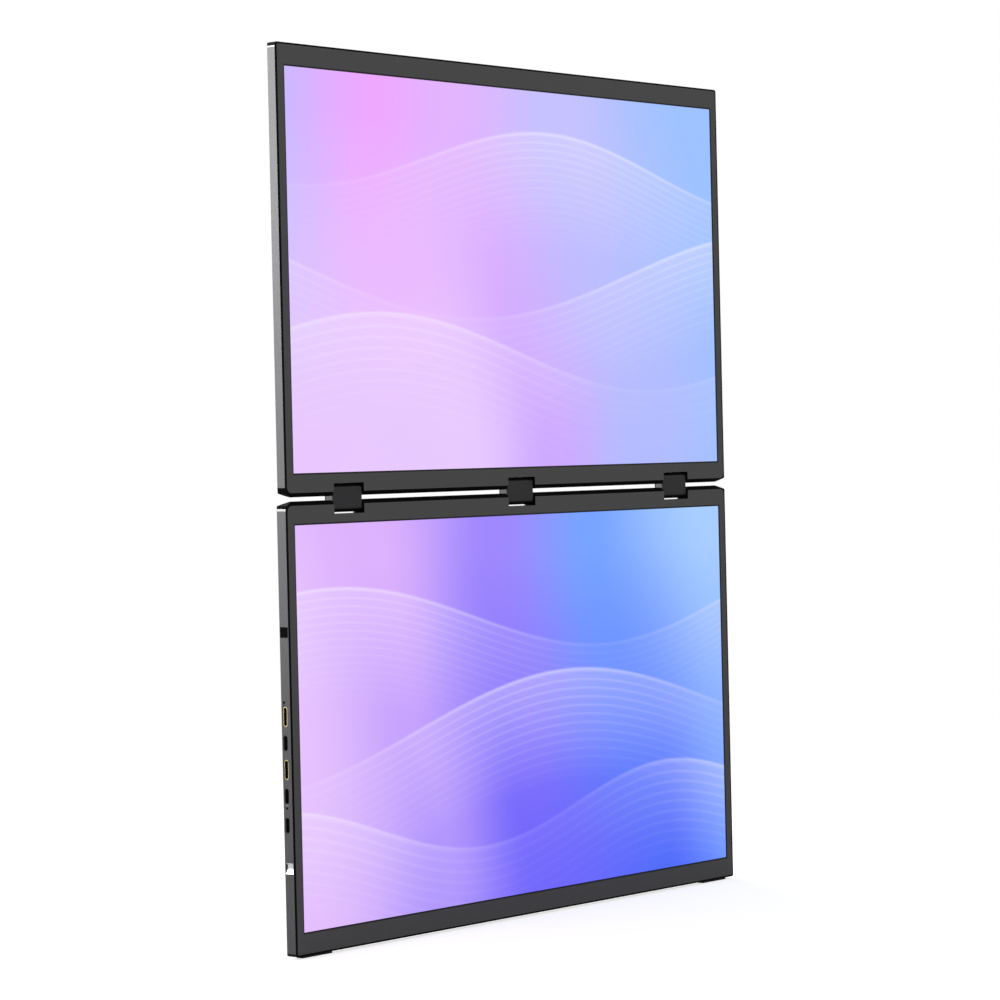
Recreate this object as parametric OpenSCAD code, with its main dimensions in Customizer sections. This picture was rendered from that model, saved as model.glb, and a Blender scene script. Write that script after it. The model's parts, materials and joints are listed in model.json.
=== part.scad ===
// Two portable screens stacked one above the other on three two-axis hinge blocks.
// Millimetres, +Z up, the screens face -Y, origin under the middle of the footprint.

/* [Screens] */
// Lit width of each screen
screen_w = 409.8; // [400:0.1:430]
// Lit height of each screen
screen_h = 230.4; // [225:0.1:250]
// Bezel beside the screen
side_bezel = 7.6; // [7.2:0.1:12]
// Bezel at the edge away from the hinges
far_bezel = 13.3; // [11:0.1:18]
// Bezel at the hinge edge
hinge_bezel = 13.6; // [13.4:0.1:18]

/* [Panels] */
// Thickness of the lower panel at its middle
lower_t = 9.0; // [8.8:0.1:9.2]
// Thickness of the lower panel at its edges
lower_edge_t = 7.4; // [7.2:0.1:7.6]
// Thickness of the upper panel at its middle
upper_t = 8.4; // [8.2:0.1:9.0]
// Thickness of the upper panel at its edges
upper_edge_t = 6.5; // [6.2:0.1:6.8]
// Gap between the two panels when they stand in line
panel_gap = 2.3; // [2:0.1:2.6]
// Radius of the panel corners beside the hinges
hinge_corner_r = 5; // [4:0.1:5.5]
// Radius of the panel corners at the far edge
far_corner_r = 2.2; // [1.8:0.1:3]
// Width over which the back rounds down to the edges
border_w = 7; // [6:0.5:9]
// Wall of the metal rear covers
cover_wall = 1; // [0.8:0.1:1]
// Height of the rubber feet under the lower edge
foot_h = 1.3; // [1:0.1:2]

/* [Hinges] */
// Distance from the middle hinge block to the outer ones
block_pitch = 158.5; // [120:0.5:165]
// Width of each hinge block
block_w = 24.7; // [22:0.1:25]
// Width of the notches that the blocks sit in
notch_w = 26; // [26:0.1:28]
// Distance between the two axes of a block
axis_gap = 10; // [9.9:0.1:10.2]
// Depth of the axes behind the front face
axis_y = 4.65; // [4.6:0.01:4.7]
// Radius of the round ends of a block
block_r = 3.3; // [3.2:0.05:3.3]
// Radius of the hinge shafts
shaft_r = 1.3; // [1.2:0.05:1.35]
// Number of link plates between the end plates of an outer block
plate_count = 10; // [6:1:12]

/* [Kickstand] */
// Distance of the kickstand pivot below the middle of the hinges
pivot_s = 75; // [72:0.5:90]
// Thickness of the kickstand plate
stand_t = 1.5; // [1.5:0.1:1.6]
// Distance of the free edge of the kickstand below the middle of the hinges
stand_end = 250; // [240:1:250]

/* [Sockets] */
// Distance of the first socket below the middle of the hinges
socket_s = 122.5; // [115:0.5:126]
// Spacing of the five sockets
socket_pitch = 15; // [14.5:0.5:16]
// Depth of the sockets behind the front face
socket_y = 4.4; // [4.4:0.05:4.45]

/* [Hidden] */
$fn = 48;

// Positions across a panel: x from the middle, s away from the middle of the hinges
half_w = screen_w / 2 + side_bezel;
near_s = panel_gap / 2;
screen_s = near_s + hinge_bezel;
screen_end_s = screen_s + screen_h;
far_s = screen_end_s + far_bezel;
axis_s = axis_gap / 2;
mid_z = foot_h + far_s;
block_x = [-block_pitch, 0, block_pitch];
lower_notch_s = axis_s + block_r + 0.8;
upper_notch_s = axis_s + block_r + 0.2;

// Depth of the layers behind the front face
lip_y = 0.05;
bezel_t = 0.3;
ledge_y = 0.32;
wall_front_y = 0.37;
cell_y = 0.35;
cell_t = 0.9;
guide_y = 1.3;
guide_t = 1.05;
tray_y = 2.4;
tray_t = 0.3;
board_y = 2.8;
board_t = 0.8;
leaf_y = 5.1;
leaf_t = 1;

// Edges of the front: how much of the black lip shows beside the bezel
lip_side = 1.45;
lip_far = 1.1;
nose_s = 3.6;
tip_y = 3.2;
nose_back_s = 3.4;
nose_taper = [7, 2.6];
bezel_corner_r = 3.6;
nose_border = 4.5;
seam_s = 6.65;
lower_side_s = 5.3;
upper_side_s = seam_s;
seam = 0.02;
lip_chamfer = 0.3;
back_chamfer = 0.4;
side_wall = 1.2;
rib_t = 1;
rib_y = 2.8;
curve_steps = 8;

// Screen module, set in from the lit area
cell_side = 2.6;
cell_near = 3.3;
cell_far = 5.8;
window_gap = 0.4;

// Driver boards and the flat cable to the lower one
driver_x = 120;
driver_s = [17, 31];
ribbon_x = -108;
ribbon_w = 12;
ribbon_y = 4;
ribbon_t = 0.3;

// Hinge rail: the black nose and the web behind the bezel
web_s = 16;
web_x = half_w - 6;
web_clear = 0.4;
pocket_x = [notch_w / 2 + 1.5, 45];
pocket_r = shaft_r + 0.6;
stub_l = 4;

// Hinge brackets: a leaf with two lugs, held by three screws
leaf_x = [15.5, 43.5];
leaf_s = [8, 33];
lug_r = shaft_r + 0.45;
lug_w = 1.5;
lug_x = [15.5, 26];
bracket_screws = [[20, 14], [38, 14], [30, 29]];
screw_r = 0.9;
boss_r = 2.2;

// Screws that hold a rear cover to its rail
cover_screw_x = [-120, -60, 60, 120];
cover_screw_s = 12.6;

// Friction packs and the cable through the middle block
sleeve_wall = 0.7;
end_plate_t = 1;
plate_t = 0.9;
pack_w = block_w - 2 * end_plate_t;
disc_gap = (pack_w - plate_count * plate_t) / (plate_count + 1);
disc_clear = 0.05;
disc_r = block_r - sleeve_wall - 0.12;
flat_y = 0.75 * shaft_r;
barrel_r = 2;
barrel_bore = 1.3;
cable_r = 1;
barrel_in = 6;
barrel_out = 21;
cable_bend_r = 3;
cable_x = -barrel_out - 1 - cable_bend_r;
cable_end_s = 112;

// Kickstand
pivot_y = 5;
pin_r = 1;
arm_boss_r = 1.9;
stand_x = screen_w / 2 - 0.4;
stand_top = pivot_s + 5;
stand_r = 8;
stand_y = lower_t - stand_t;
recess_gap = 0.4;
recess_y = stand_y - 0.3;
recess_top = stand_top - 1.7;
floor_t = 0.8;
arm_x = [197, 203.2];
arm_slot_x = [196.6, 203.6];
arm_slot_s = [pivot_s - 4.5, pivot_s + 11];
housing_wall = 1.3;
housing_x = [arm_slot_x[0] - housing_wall, arm_slot_x[1] + housing_wall];
housing_s = [arm_slot_s[0] - housing_wall, arm_slot_s[1] + housing_wall];
pad_t = 0.7;
pad_end = stand_top + 20;
cap_s = [pivot_s - 3.1, pivot_s + 2.9];
cap_y = [0.7, 6.7];
grip_s = 208.3;
grip_h = 6.2;
grip_y = [0.8, 6.9];
thumb_l = 18;
thumb_w = 3.2;

// Sockets on the left edge: two mini HDMI and three USB-C
hdmi_s = [socket_s, socket_s + 2 * socket_pitch];
usb_s = [socket_s + socket_pitch, socket_s + 3 * socket_pitch, socket_s + 4.1 * socket_pitch];
usb_size = [8.94, 3.16];
usb_wall = 0.3;
hdmi_size = [11.3, 3.3];
hdmi_wall = 0.4;
socket_clear = 0.12;
mouth_x = 0.3;
usb_l = 7.4;
hdmi_l = 7.0;
pinhole_r = 0.45;
pinholes = [[4.9, socket_s - 8], [4.4, socket_s + 51.7]];

// Main board behind the sockets
main_y = 4.4;
main_x = [-210.4, -98];
main_s = [100, 198];
board_posts = [[-200, 105], [-120, 105], [-200, 193], [-120, 193]];

// Keys on the right edge
key_s = [118, 136, 150];
key_l = [10, 8, 8];
key_w = 2.2;
key_gap = 0.3;
key_y = 4.1;
key_travel = 0.4;

// Speakers and vents above the kickstand
speaker_x = 152;
speaker_size = [44, 17, 3.6];
speaker_s = 52;
speaker_slots = 9;
vent_slots = 15;
vent_pitch = 7;
vent_size = [2.4, 16];
vent_s = 54;

// Feet
foot_x = 193;
foot_l = 25;
foot_y = [1.5, 6.3];
foot_groove = 1;
foot_in = 0.6;

// ---------- helpers ----------

// Puts the hinge frame (front face at y = 0, hinge middle at z = 0) where the object stands
module place() {
    translate([0, -lower_t / 2, mid_z]) children();
}

// The lower panel is modelled like the upper one and turned downwards
module lower() {
    place() mirror([0, 0, 1]) children();
}

module upper() {
    place() children();
}

// Extrudes an outline drawn in (y, z) along X
module along_x(x0, x1) {
    translate([x0, 0, 0]) rotate([90, 0, 90]) linear_extrude(x1 - x0) children();
}

// Extrudes an outline drawn in (x, z) along Y
module along_y(y0, y1) {
    translate([0, y1, 0]) rotate([90, 0, 0]) linear_extrude(y1 - y0) children();
}

// Box between two corners
module span(x, y, s) {
    translate([x[0], y[0], s[0]]) cube([x[1] - x[0], y[1] - y[0], s[1] - s[0]]);
}

// Rectangle with round corners, from its lowest and highest corners
module round_box(x, s, r) {
    translate([x[0] + r, s[0]]) square([x[1] - x[0] - 2 * r, s[1] - s[0]]);
    translate([x[0], s[0] + r]) square([x[1] - x[0], s[1] - s[0] - 2 * r]);
    for (cx = [x[0] + r, x[1] - r])
        for (cs = [s[0] + r, s[1] - r])
            translate([cx, cs]) circle(r);
}

// Rectangle with one radius at its near corners and another at its far ones
module panel_box(x, s, near_r, far_r) {
    middle = (s[0] + s[1]) / 2;
    round_end(x, s[0], middle, near_r);
    round_end(x, s[1], middle, far_r);
}

// Half of that rectangle, from the end with its two round corners to the middle
module round_end(x, end, middle, r) {
    centre = end < middle ? end + r : end - r;
    translate([x[0] + r, min(end, middle)]) square([x[1] - x[0] - 2 * r, abs(end - middle)]);
    translate([x[0], min(centre, middle)]) square([x[1] - x[0], abs(centre - middle)]);
    for (cx = [x[0] + r, x[1] - r])
        translate([cx, centre]) circle(r);
}

// Bar with round ends, l long along the first axis and w wide
module stadium(l, w) {
    translate([-(l - w) / 2, -w / 2]) square([l - w, w]);
    for (side = [-1, 1])
        translate([side * (l - w) / 2, 0]) circle(w / 2);
}

// Screw or pin along Y with its axis at (x, s)
module rod_y(x, s, y0, y1, r) {
    translate([x, y1, s]) rotate([90, 0, 0]) cylinder(r = r, h = y1 - y0);
}

module rod_x(x0, x1, y, s, r) {
    translate([x0, y, s]) rotate([0, 90, 0]) cylinder(r = r, h = x1 - x0);
}

// Both sides of the object
module both_sides() {
    children();
    mirror([1, 0, 0]) children();
}

// ---------- shape of a panel ----------

// How the back rounds down to an edge of thickness e: pairs of distance from the edge and depth
function border(e, t, w) = [for (k = [0 : curve_steps])
    [back_chamfer + (w - back_chamfer) * k / curve_steps, e + (t - e) * sin(90 * k / curve_steps)]];

// Quadratic curve through a to c, drawn towards b
function bend(a, b, c) = [for (k = [0 : curve_steps])
    let (u = k / curve_steps) a * (1 - u) * (1 - u) + b * 2 * u * (1 - u) + c * u * u];

function backwards(list) = [for (k = [len(list) - 1 : -1 : 0]) list[k]];

// Section of a panel across the hinge axis, in (y, z)
function side_section(e, t, near, far, front) = concat(
    bend([front, near + nose_s - near_s], [front + 2.05, near + 0.3], [tip_y, near]),
    bend([tip_y, near], [4.6, near + 0.35], [e, near + nose_back_s - near_s]),
    [for (p = border(e, t, nose_border)) [p[1], near + nose_back_s - near_s + p[0]]],
    [for (p = backwards(border(e, t, border_w))) [p[1], far - p[0]]],
    [[e - back_chamfer, far], [front + lip_chamfer, far], [front, far - lip_chamfer]]);

// Section of a panel along the hinge axis, in (x, y)
function front_section(e, t, half, front) = concat(
    [[-half + lip_chamfer, front], [-half, front + lip_chamfer], [-half, e - back_chamfer]],
    [for (p = border(e, t, border_w)) [-half + p[0], p[1]]],
    [for (p = backwards(border(e, t, border_w))) [half - p[0], p[1]]],
    [[half, e - back_chamfer], [half, front + lip_chamfer], [half - lip_chamfer, front]]);

// Outer form of a whole panel, without its notches; the nose tapers towards its ends
module panel_form(e, t) {
    difference() {
        intersection() {
            along_x(-half_w, half_w) polygon(side_section(e, t, near_s, far_s, lip_y));
            translate([0, 0, near_s]) linear_extrude(far_s - near_s)
                polygon(front_section(e, t, half_w, lip_y));
            along_y(0, t)
                panel_box([-half_w, half_w], [near_s, far_s], hinge_corner_r, far_corner_r);
        }
        both_sides() along_y(-1, t + 1) polygon([
            [half_w - nose_taper[0], near_s], [half_w, near_s + nose_taper[1]],
            [half_w + 1, near_s + nose_taper[1]], [half_w + 1, near_s - 1],
            [half_w - nose_taper[0], near_s - 1]]);
    }
}

// Hollow inside the rear cover, open to the front and towards the hinges
module panel_hollow(e, t) {
    intersection() {
        along_x(-half_w, half_w)
            polygon(side_section(e - cover_wall, t - cover_wall, near_s + cover_wall - 4,
                far_s - side_wall, -1));
        translate([0, 0, -4]) linear_extrude(far_s + 4)
            polygon(front_section(e - cover_wall, t - cover_wall, half_w - side_wall, -1));
        along_y(-1, t) round_box([side_wall - half_w, half_w - side_wall],
            [-20, far_s - side_wall], far_corner_r - side_wall);
    }
}

// Notches for the hinge blocks, right through the panel and as deep as notch_s
module notches(notch_s) {
    for (x = block_x)
        span([x - notch_w / 2, x + notch_w / 2], [-1, 20], [-1, notch_s]);
}

module bezel_outline(grow) {
    panel_box([-half_w + lip_side - grow, half_w - lip_side + grow],
        [nose_s - grow, far_s - lip_far + grow], bezel_corner_r, far_corner_r - lip_side);
}

module screen_window(grow) {
    translate([-screen_w / 2 - grow, screen_s - grow])
        square([screen_w + 2 * grow, screen_h + 2 * grow]);
}

// ---------- pieces that both panels have ----------

// Metal rear cover: back, two sides and the far edge, with bosses for the hinge brackets
module rear_cover(e, t, notch_s, side_s) {
    difference() {
        intersection() {
            panel_form(e, t);
            union() {
                span([-half_w, half_w], [wall_front_y, t], [seam_s, far_s]);
                both_sides()
                    span([half_w - side_wall, half_w], [wall_front_y, t], [side_s, seam_s + 1]);
            }
        }
        panel_hollow(e, t);
        notches(notch_s);
        for (x = cover_screw_x)
            countersink(x, cover_screw_s, t);
    }
    for (k = [0 : 2])
        for (p = bracket_screws)
            boss(bracket_point(k, p), t);
}

// The outer brackets point outwards, the middle one to the right
function bracket_point(k, p) = [block_x[k] + (k == 0 ? -p[0] : p[0]), p[1]];

module boss(p, t) {
    difference() {
        rod_y(p[0], p[1], leaf_y + leaf_t, t - cover_wall / 2, boss_r);
        rod_y(p[0], p[1], leaf_y, t - cover_wall - 0.1, screw_r + 0.02);
    }
}

// Hole for a countersunk screw through the back
module countersink(x, s, t) {
    rod_y(x, s, t - 3, t + 1, screw_r + 0.1);
    translate([x, t + 0.01, s]) rotate([90, 0, 0]) cylinder(r1 = 2, r2 = screw_r + 0.1, h = 0.9);
}

// Black rail: the rounded nose beside the hinge gap and the web that carries the shafts
module hinge_rail(e, t, notch_s, side_s) {
    difference() {
        union() {
            intersection() {
                panel_form(e, t);
                span([-half_w, half_w], [0, t], [0, seam_s - seam]);
            }
            span([-web_x, web_x], [ledge_y, t - cover_wall - web_clear], [seam_s - 1, web_s]);
        }
        both_sides() span([half_w - side_wall - seam, half_w + 1], [wall_front_y, 20],
            [side_s - seam, seam_s]);
        along_y(-1, ledge_y) bezel_outline(0.03);
        span([-half_w, half_w], [-1, board_y - 0.02], [screen_s - cell_near - 0.2, web_s + 1]);
        notches(notch_s);
        for (k = [0 : 2])
            bracket_pocket(k);
        for (x = block_x)
            rod_x(x - notch_w / 2 - stub_l, x + notch_w / 2 + stub_l, axis_y, axis_s, shaft_r + 0.02);
        for (x = cover_screw_x)
            rod_y(x, cover_screw_s, t - 4.5, t, screw_r + 0.02);
        children();
    }
}

// Room in the rail for the lugs and the leaf of one bracket
module bracket_pocket(k) {
    mirror_x(k == 0) {
        x = k == 0 ? -block_x[0] : block_x[k];
        rod_x(x + pocket_x[0], x + pocket_x[1], axis_y, axis_s, pocket_r);
        span([x + pocket_x[0], x + pocket_x[1]], [axis_y - pocket_r, axis_y + pocket_r],
            [axis_s, web_s + 1]);
        span([x + pocket_x[0], x + pocket_x[1]], [axis_y - pocket_r, 20],
            [seam_s + 0.1, web_s + 1]);
    }
}

// Stiffening ribs from the tray back to the inside of a cover at depth y
module ribs(rib_x, rib_s, x, s, y) {
    for (at = rib_x)
        span([at - rib_t / 2, at + rib_t / 2], [rib_y, y + 0.1], s);
    for (at = rib_s)
        span(x, [rib_y, y + 0.1], [at - rib_t / 2, at + rib_t / 2]);
}

module mirror_x(on) {
    if (on) {
        mirror([1, 0, 0]) children();
    } else {
        children();
    }
}

// Black frame inside the cover: its lip shows as a thin line round the bezel
module mid_frame(e, t) {
    difference() {
        union() {
            intersection() {
                panel_form(e, t);
                span([-half_w, half_w], [0, wall_front_y], [seam_s, far_s]);
            }
            along_y(ledge_y, board_y - 0.4)
                round_box([0.15 + side_wall - half_w, half_w - side_wall - 0.15],
                    [web_s + 0.2, far_s - side_wall - 0.15], far_corner_r - side_wall - 0.15);
        }
        along_y(-1, ledge_y) bezel_outline(0.03);
        span([3.5 - half_w, half_w - 3.5], [0, 20], [0, far_s - 3.5]);
        children();
    }
}

// Bezel sheet with the window for the screen
module bezel(notch_s) {
    difference() {
        along_y(0, bezel_t) bezel_outline(0);
        along_y(-1, 1) screen_window(window_gap);
        notches(notch_s);
    }
}

function cell_x() = screen_w / 2 + cell_side;
function cell_s() = [screen_s - cell_near, screen_end_s + cell_far];

module lcd_cell() {
    span([-cell_x(), cell_x()], [cell_y, cell_y + cell_t], cell_s());
}

// Sheet of the light guide, above the bar of lamps
module light_guide() {
    span([-cell_x() + 0.5, cell_x() - 0.5], [guide_y, guide_y + guide_t],
        [cell_s()[0] + 2.2, cell_s()[1] - 0.5]);
}

// Strip of lamps along the hinge edge of the light guide
module led_bar() {
    span([-cell_x() + 0.5, cell_x() - 0.5], [guide_y + guide_t - 0.25, guide_y + guide_t],
        [cell_s()[0] + 0.5, cell_s()[0] + 2.1]);
    for (k = [-24 : 24])
        translate([k * 8.2, guide_y + 0.05, cell_s()[0] + 0.7])
            cube([3.6, guide_t - 0.3, 1.3]);
}

// Folded steel tray that holds the module together
module module_tray() {
    x = cell_x();
    s = cell_s();
    difference() {
        span([-x, x], [guide_y, tray_y + tray_t], s);
        span([0.3 - x, x - 0.3], [0, tray_y], [s[0] + 0.3, s[1] - 0.3]);
    }
}

// Narrow board that drives the screen, with its chips and a socket for its cable
module driver_board(socket_x, socket_h) {
    top = board_y + board_t;
    span([-driver_x, driver_x], [board_y, top], driver_s);
    for (x = [-80, -50, 50, 80])
        span([x - 6, x + 6], [top, top + 0.9], [driver_s[0] + 3, driver_s[1] - 3]);
    span([socket_x - ribbon_w / 2 - 1, socket_x + ribbon_w / 2 + 1], [top, top + socket_h],
        [driver_s[1] - 4, driver_s[1] - 0.5]);
}

// Steel brackets: lugs riveted on the shafts and a leaf screwed to the cover
module hinge_brackets() {
    for (k = [0 : 2])
        mirror_x(k == 0) translate([k == 0 ? -block_x[0] : block_x[k], 0, 0]) bracket();
}

module bracket() {
    difference() {
        union() {
            span(leaf_x, [leaf_y, leaf_y + leaf_t], leaf_s);
            for (x = lug_x)
                lug(x);
        }
        for (x = lug_x)
            rod_x(x - 1, x + lug_w + 1, axis_y, axis_s, shaft_r);
        for (p = bracket_screws)
            rod_y(p[0], p[1], 0, 20, screw_r + 0.1);
    }
}

module lug(x) {
    rod_x(x, x + lug_w, axis_y, axis_s, lug_r);
    span([x, x + lug_w], [axis_y - lug_r, leaf_y + leaf_t], [axis_s, leaf_s[0] + 3]);
}

// Steel shafts with a flat that drives the friction discs; the middle one is a short pin
module hinge_shafts() {
    for (k = [0, 2])
        mirror_x(k == 0) translate([-block_x[0], 0, 0]) shaft(-block_w / 2 - stub_l);
    shaft(barrel_in);
}

module shaft(x0) {
    difference() {
        rod_x(x0, lug_x[1] + lug_w + 1, axis_y, axis_s, shaft_r);
        if (x0 < 0)
            shaft_flat(0);
    }
}

module shaft_flat(grow) {
    span([-pack_w / 2, pack_w / 2], [axis_y + flat_y + grow, axis_y + 2 * shaft_r],
        [axis_s - 2 * shaft_r, axis_s + 2 * shaft_r]);
}

// Friction discs that turn with the shafts, one in each gap between the link plates
module friction_discs() {
    for (k = [0, 2])
        translate([block_x[k], 0, 0])
            for (n = [0 : plate_count])
                let (x = n * (disc_gap + plate_t) - pack_w / 2)
                    friction_disc(x + disc_clear, x + disc_gap - disc_clear);
}

module friction_disc(x0, x1) {
    difference() {
        rod_x(x0, x1, axis_y, axis_s, disc_r);
        difference() {
            rod_x(x0 - 1, x1 + 1, axis_y, axis_s, shaft_r + 0.01);
            shaft_flat(0.01);
        }
    }
}

// Hollow barrel of the middle hinge, which lets the cable through
module cable_barrel() {
    difference() {
        rod_x(-barrel_out, -barrel_in, axis_y, axis_s, barrel_r);
        rod_x(-barrel_out - 1, -barrel_in + 1, axis_y, axis_s, barrel_bore);
    }
}

module barrel_bore_in_rail() {
    rod_x(-barrel_out - 0.1, 0, axis_y, axis_s, barrel_r + 0.02);
    span([-barrel_out - 6, -barrel_out], [axis_y - 1.6, axis_y + 1.6], [axis_s - 1.6, web_s + 1]);
}

module bracket_screw_set() {
    for (k = [0 : 2])
        for (p = bracket_screws) {
            at = bracket_point(k, p);
            rod_y(at[0], at[1], leaf_y - 0.6, leaf_y, 1.7);
            rod_y(at[0], at[1], leaf_y, leaf_y + leaf_t + 1.1, screw_r);
        }
}

module cover_screw_set(t) {
    for (x = cover_screw_x)
        difference() {
            union() {
                rod_y(x, cover_screw_s, t - 4.4, t - 0.8, screw_r);
                translate([x, t - 0.05, cover_screw_s]) rotate([90, 0, 0])
                    cylinder(r1 = 1.9, r2 = screw_r, h = 0.9);
            }
            translate([x, t, cover_screw_s]) cube([2, 0.8, 0.4], center = true);
            translate([x, t, cover_screw_s]) cube([0.4, 0.8, 2], center = true);
        }
}

// Quarter bend of the cable in the plane of the panel, turned about Y
module cable_bend(x, s, turn) {
    translate([x, axis_y, s]) rotate([90, turn, 0])
        rotate_extrude(angle = 90) translate([cable_bend_r, 0]) circle(cable_r);
}

// Cable out of the barrel, round a bend and up to end_s
module panel_cable(end_s) {
    rod_x(cable_x + cable_bend_r, -barrel_in, axis_y, axis_s, cable_r);
    cable_bend(cable_x + cable_bend_r, axis_s + cable_bend_r, 180);
    translate([cable_x, axis_y, axis_s + cable_bend_r])
        cylinder(r = cable_r, h = end_s - axis_s - cable_bend_r);
}

// ---------- lower panel ----------

module lower_rear_cover() color("#6f7074") lower() difference() {
    union() {
        rear_cover(lower_edge_t, lower_t, lower_notch_s, lower_side_s);
        intersection() {
            stand_recess(floor_t);
            panel_hollow(lower_edge_t, lower_t);
        }
        ribs([-60 : 60 : 180], [150, 200], [-90, 192], [120, 246], recess_y - floor_t);
        for (p = board_posts)
            rod_y(p[0], p[1], main_y + board_t, recess_y - floor_t / 2, boss_r);
    }
    stand_recess(0);
    for (p = board_posts)
        rod_y(p[0], p[1], 0, recess_y - floor_t - 0.1, screw_r + 0.02);
    both_sides() {
        span([housing_x[0] - 0.1, housing_x[1] + 0.1], [0, 20],
            [housing_s[0] - 0.1, housing_s[1] + 0.1]);
        span([half_w - 3, half_w + 1], cap_y, cap_s);
        span([half_w - 3, half_w + 1], grip_y, [grip_s - grip_h / 2, grip_s + grip_h / 2]);
        for (k = [0 : speaker_slots - 1])
            along_y(lower_t - 3, lower_t + 1)
                translate([speaker_x + (k - (speaker_slots - 1) / 2) * 3.6, speaker_s])
                    rotate(90) stadium(12, 1.4);
    }
    for (k = [0 : vent_slots - 1])
        along_y(lower_t - 3, lower_t + 1)
            translate([(k - (vent_slots - 1) / 2) * vent_pitch, vent_s])
                rotate(90) stadium(vent_size[1], vent_size[0]);
    for (s = usb_s)
        socket_hole(s, usb_size);
    for (s = hdmi_s)
        socket_hole(s, hdmi_size);
    for (p = pinholes)
        rod_x(-half_w - 1, -half_w + 3, p[0], p[1], pinhole_r);
    for (k = [0 : 2])
        along_x(half_w - 3, half_w + 1) translate([key_y, key_s[k]])
            rotate(90) stadium(key_l[k] + 2 * key_gap, key_w + 2 * key_gap);
    both_sides()
        span([foot_x - foot_l / 2, foot_x + foot_l / 2], foot_y, [far_s - foot_in, far_s + 1]);
}

// Space that the closed kickstand lies in; grown by the floor it is what the floor fills
module stand_recess(grow) {
    x = stand_x + recess_gap + grow;
    along_y(recess_y - grow, 20) {
        round_box([-x, x], [recess_top - grow, stand_end + recess_gap + grow],
            stand_r + recess_gap + grow);
        round_box([-x - thumb_w, x + thumb_w],
            [grip_s - thumb_l / 2 - grow, grip_s + thumb_l / 2 + grow], 3 + grow);
    }
}

module socket_hole(s, size) {
    along_x(-half_w - 1, -half_w + 3) translate([socket_y, s])
        rotate(90) stadium(size[0] + 2 * socket_clear, size[1] + 2 * socket_clear);
}

module lower_hinge_rail() color("#17181a") lower()
    hinge_rail(lower_edge_t, lower_t, lower_notch_s, lower_side_s) barrel_bore_in_rail();

module lower_mid_frame() color("#17181a") lower() mid_frame(lower_edge_t, lower_t) both_sides() {
    span([half_w - 4, half_w + 1], [cap_y[0] - 0.1, 20], [cap_s[0] - 0.2, cap_s[1] + 0.2]);
    span([half_w - 4, half_w + 1], [grip_y[0] - 0.1, 20],
        [grip_s - grip_h / 2 - 0.2, grip_s + grip_h / 2 + 0.2]);
}

module lower_bezel() color("#45464a") lower() bezel(lower_notch_s);

module lower_lcd_cell() color("#7f86e8") lower() lcd_cell();

module lower_light_guide() color("#eef2f4") lower() light_guide();

module lower_led_bar() color("#f2eecb") lower() led_bar();

module lower_module_tray() color("#a9acb0") lower() module_tray();

module lower_driver_board() color("#1d4b34") lower() difference() {
    driver_board(ribbon_x, 1.1);
    ribbon_space(0.02);
}

// Flat cable from the driver board to a socket on the front of the main board
module display_ribbon() color("#e8e6dc") lower() ribbon_space(0);

module ribbon_space(grow) {
    span([ribbon_x - ribbon_w / 2 - grow, ribbon_x + ribbon_w / 2 + grow],
        [ribbon_y - grow, ribbon_y + ribbon_t + grow], [driver_s[1] - 3, main_s[0] + 4 + grow]);
}

module lower_hinge_brackets() color("#9a9da1") lower() hinge_brackets();

module lower_hinge_shafts() color("#c3c6ca") lower() hinge_shafts();

module lower_friction_discs() color("#b9a46a") lower() friction_discs();

module lower_cable_barrel() color("#c3c6ca") lower() cable_barrel();

module lower_bracket_screws() color("#8c8f93") lower() bracket_screw_set();

module lower_cover_screws() color("#2b2c2e") lower() cover_screw_set(lower_t);

// The lower cable passes the driver board and turns towards the main board
module lower_cable() color("#101012") lower() {
    panel_cable(cable_end_s - cable_bend_r);
    cable_bend(cable_x - cable_bend_r, cable_end_s - cable_bend_r, 0);
    rod_x(main_x[1] + 0.1, cable_x - cable_bend_r, axis_y, cable_end_s, cable_r);
}

// Board with cut-outs that the sockets are sunk into
module main_board() color("#1d4b34") lower() difference() {
    union() {
        span(main_x, [main_y, main_y + board_t], main_s);
        span([ribbon_x - ribbon_w / 2 - 1, ribbon_x + ribbon_w / 2 + 1], [3.2, main_y],
            [main_s[0], main_s[0] + 6]);
    }
    ribbon_space(0.02);
    for (s = usb_s)
        span([main_x[0] - 1, -half_w + mouth_x + usb_l + 0.1], [0, 20],
            [s - usb_size[0] / 2 - 0.1, s + usb_size[0] / 2 + 0.1]);
    for (s = hdmi_s)
        span([main_x[0] - 1, -half_w + mouth_x + hdmi_l + 0.1], [0, 20],
            [s - hdmi_size[0] / 2 - 0.1, s + hdmi_size[0] / 2 + 0.1]);
    for (p = board_posts)
        rod_y(p[0], p[1], 0, 20, screw_r + 0.1);
}

// Screws that hold the main board to the posts of the rear cover
module board_screws() color("#8c8f93") lower()
    for (p = board_posts) {
        rod_y(p[0], p[1], main_y - 0.7, main_y, 1.6);
        rod_y(p[0], p[1], main_y, main_y + board_t + 0.9, screw_r);
    }

module board_chips() color("#1b1b1d") lower() {
    for (at = [[-172, 128, 14], [-172, 160, 14], [-148, 186, 8], [-190, 186, 6]])
        span([at[0] - at[2] / 2, at[0] + at[2] / 2], [main_y + board_t, main_y + board_t + 0.9],
            [at[1] - at[2] / 2, at[1] + at[2] / 2]);
    for (k = [0 : 5])
        rod_y(-196, 112 + k * 14, main_y + board_t, main_y + board_t + 1, 1.6);
}

// Pressed steel lid over the power stage
module shield_can() color("#b4b7bb") lower() difference() {
    span([-156, -128], [main_y + board_t, main_y + board_t + 1.1], [112, 172]);
    span([-155.8, -128.2], [main_y, main_y + board_t + 0.9], [112.2, 171.8]);
}

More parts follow.
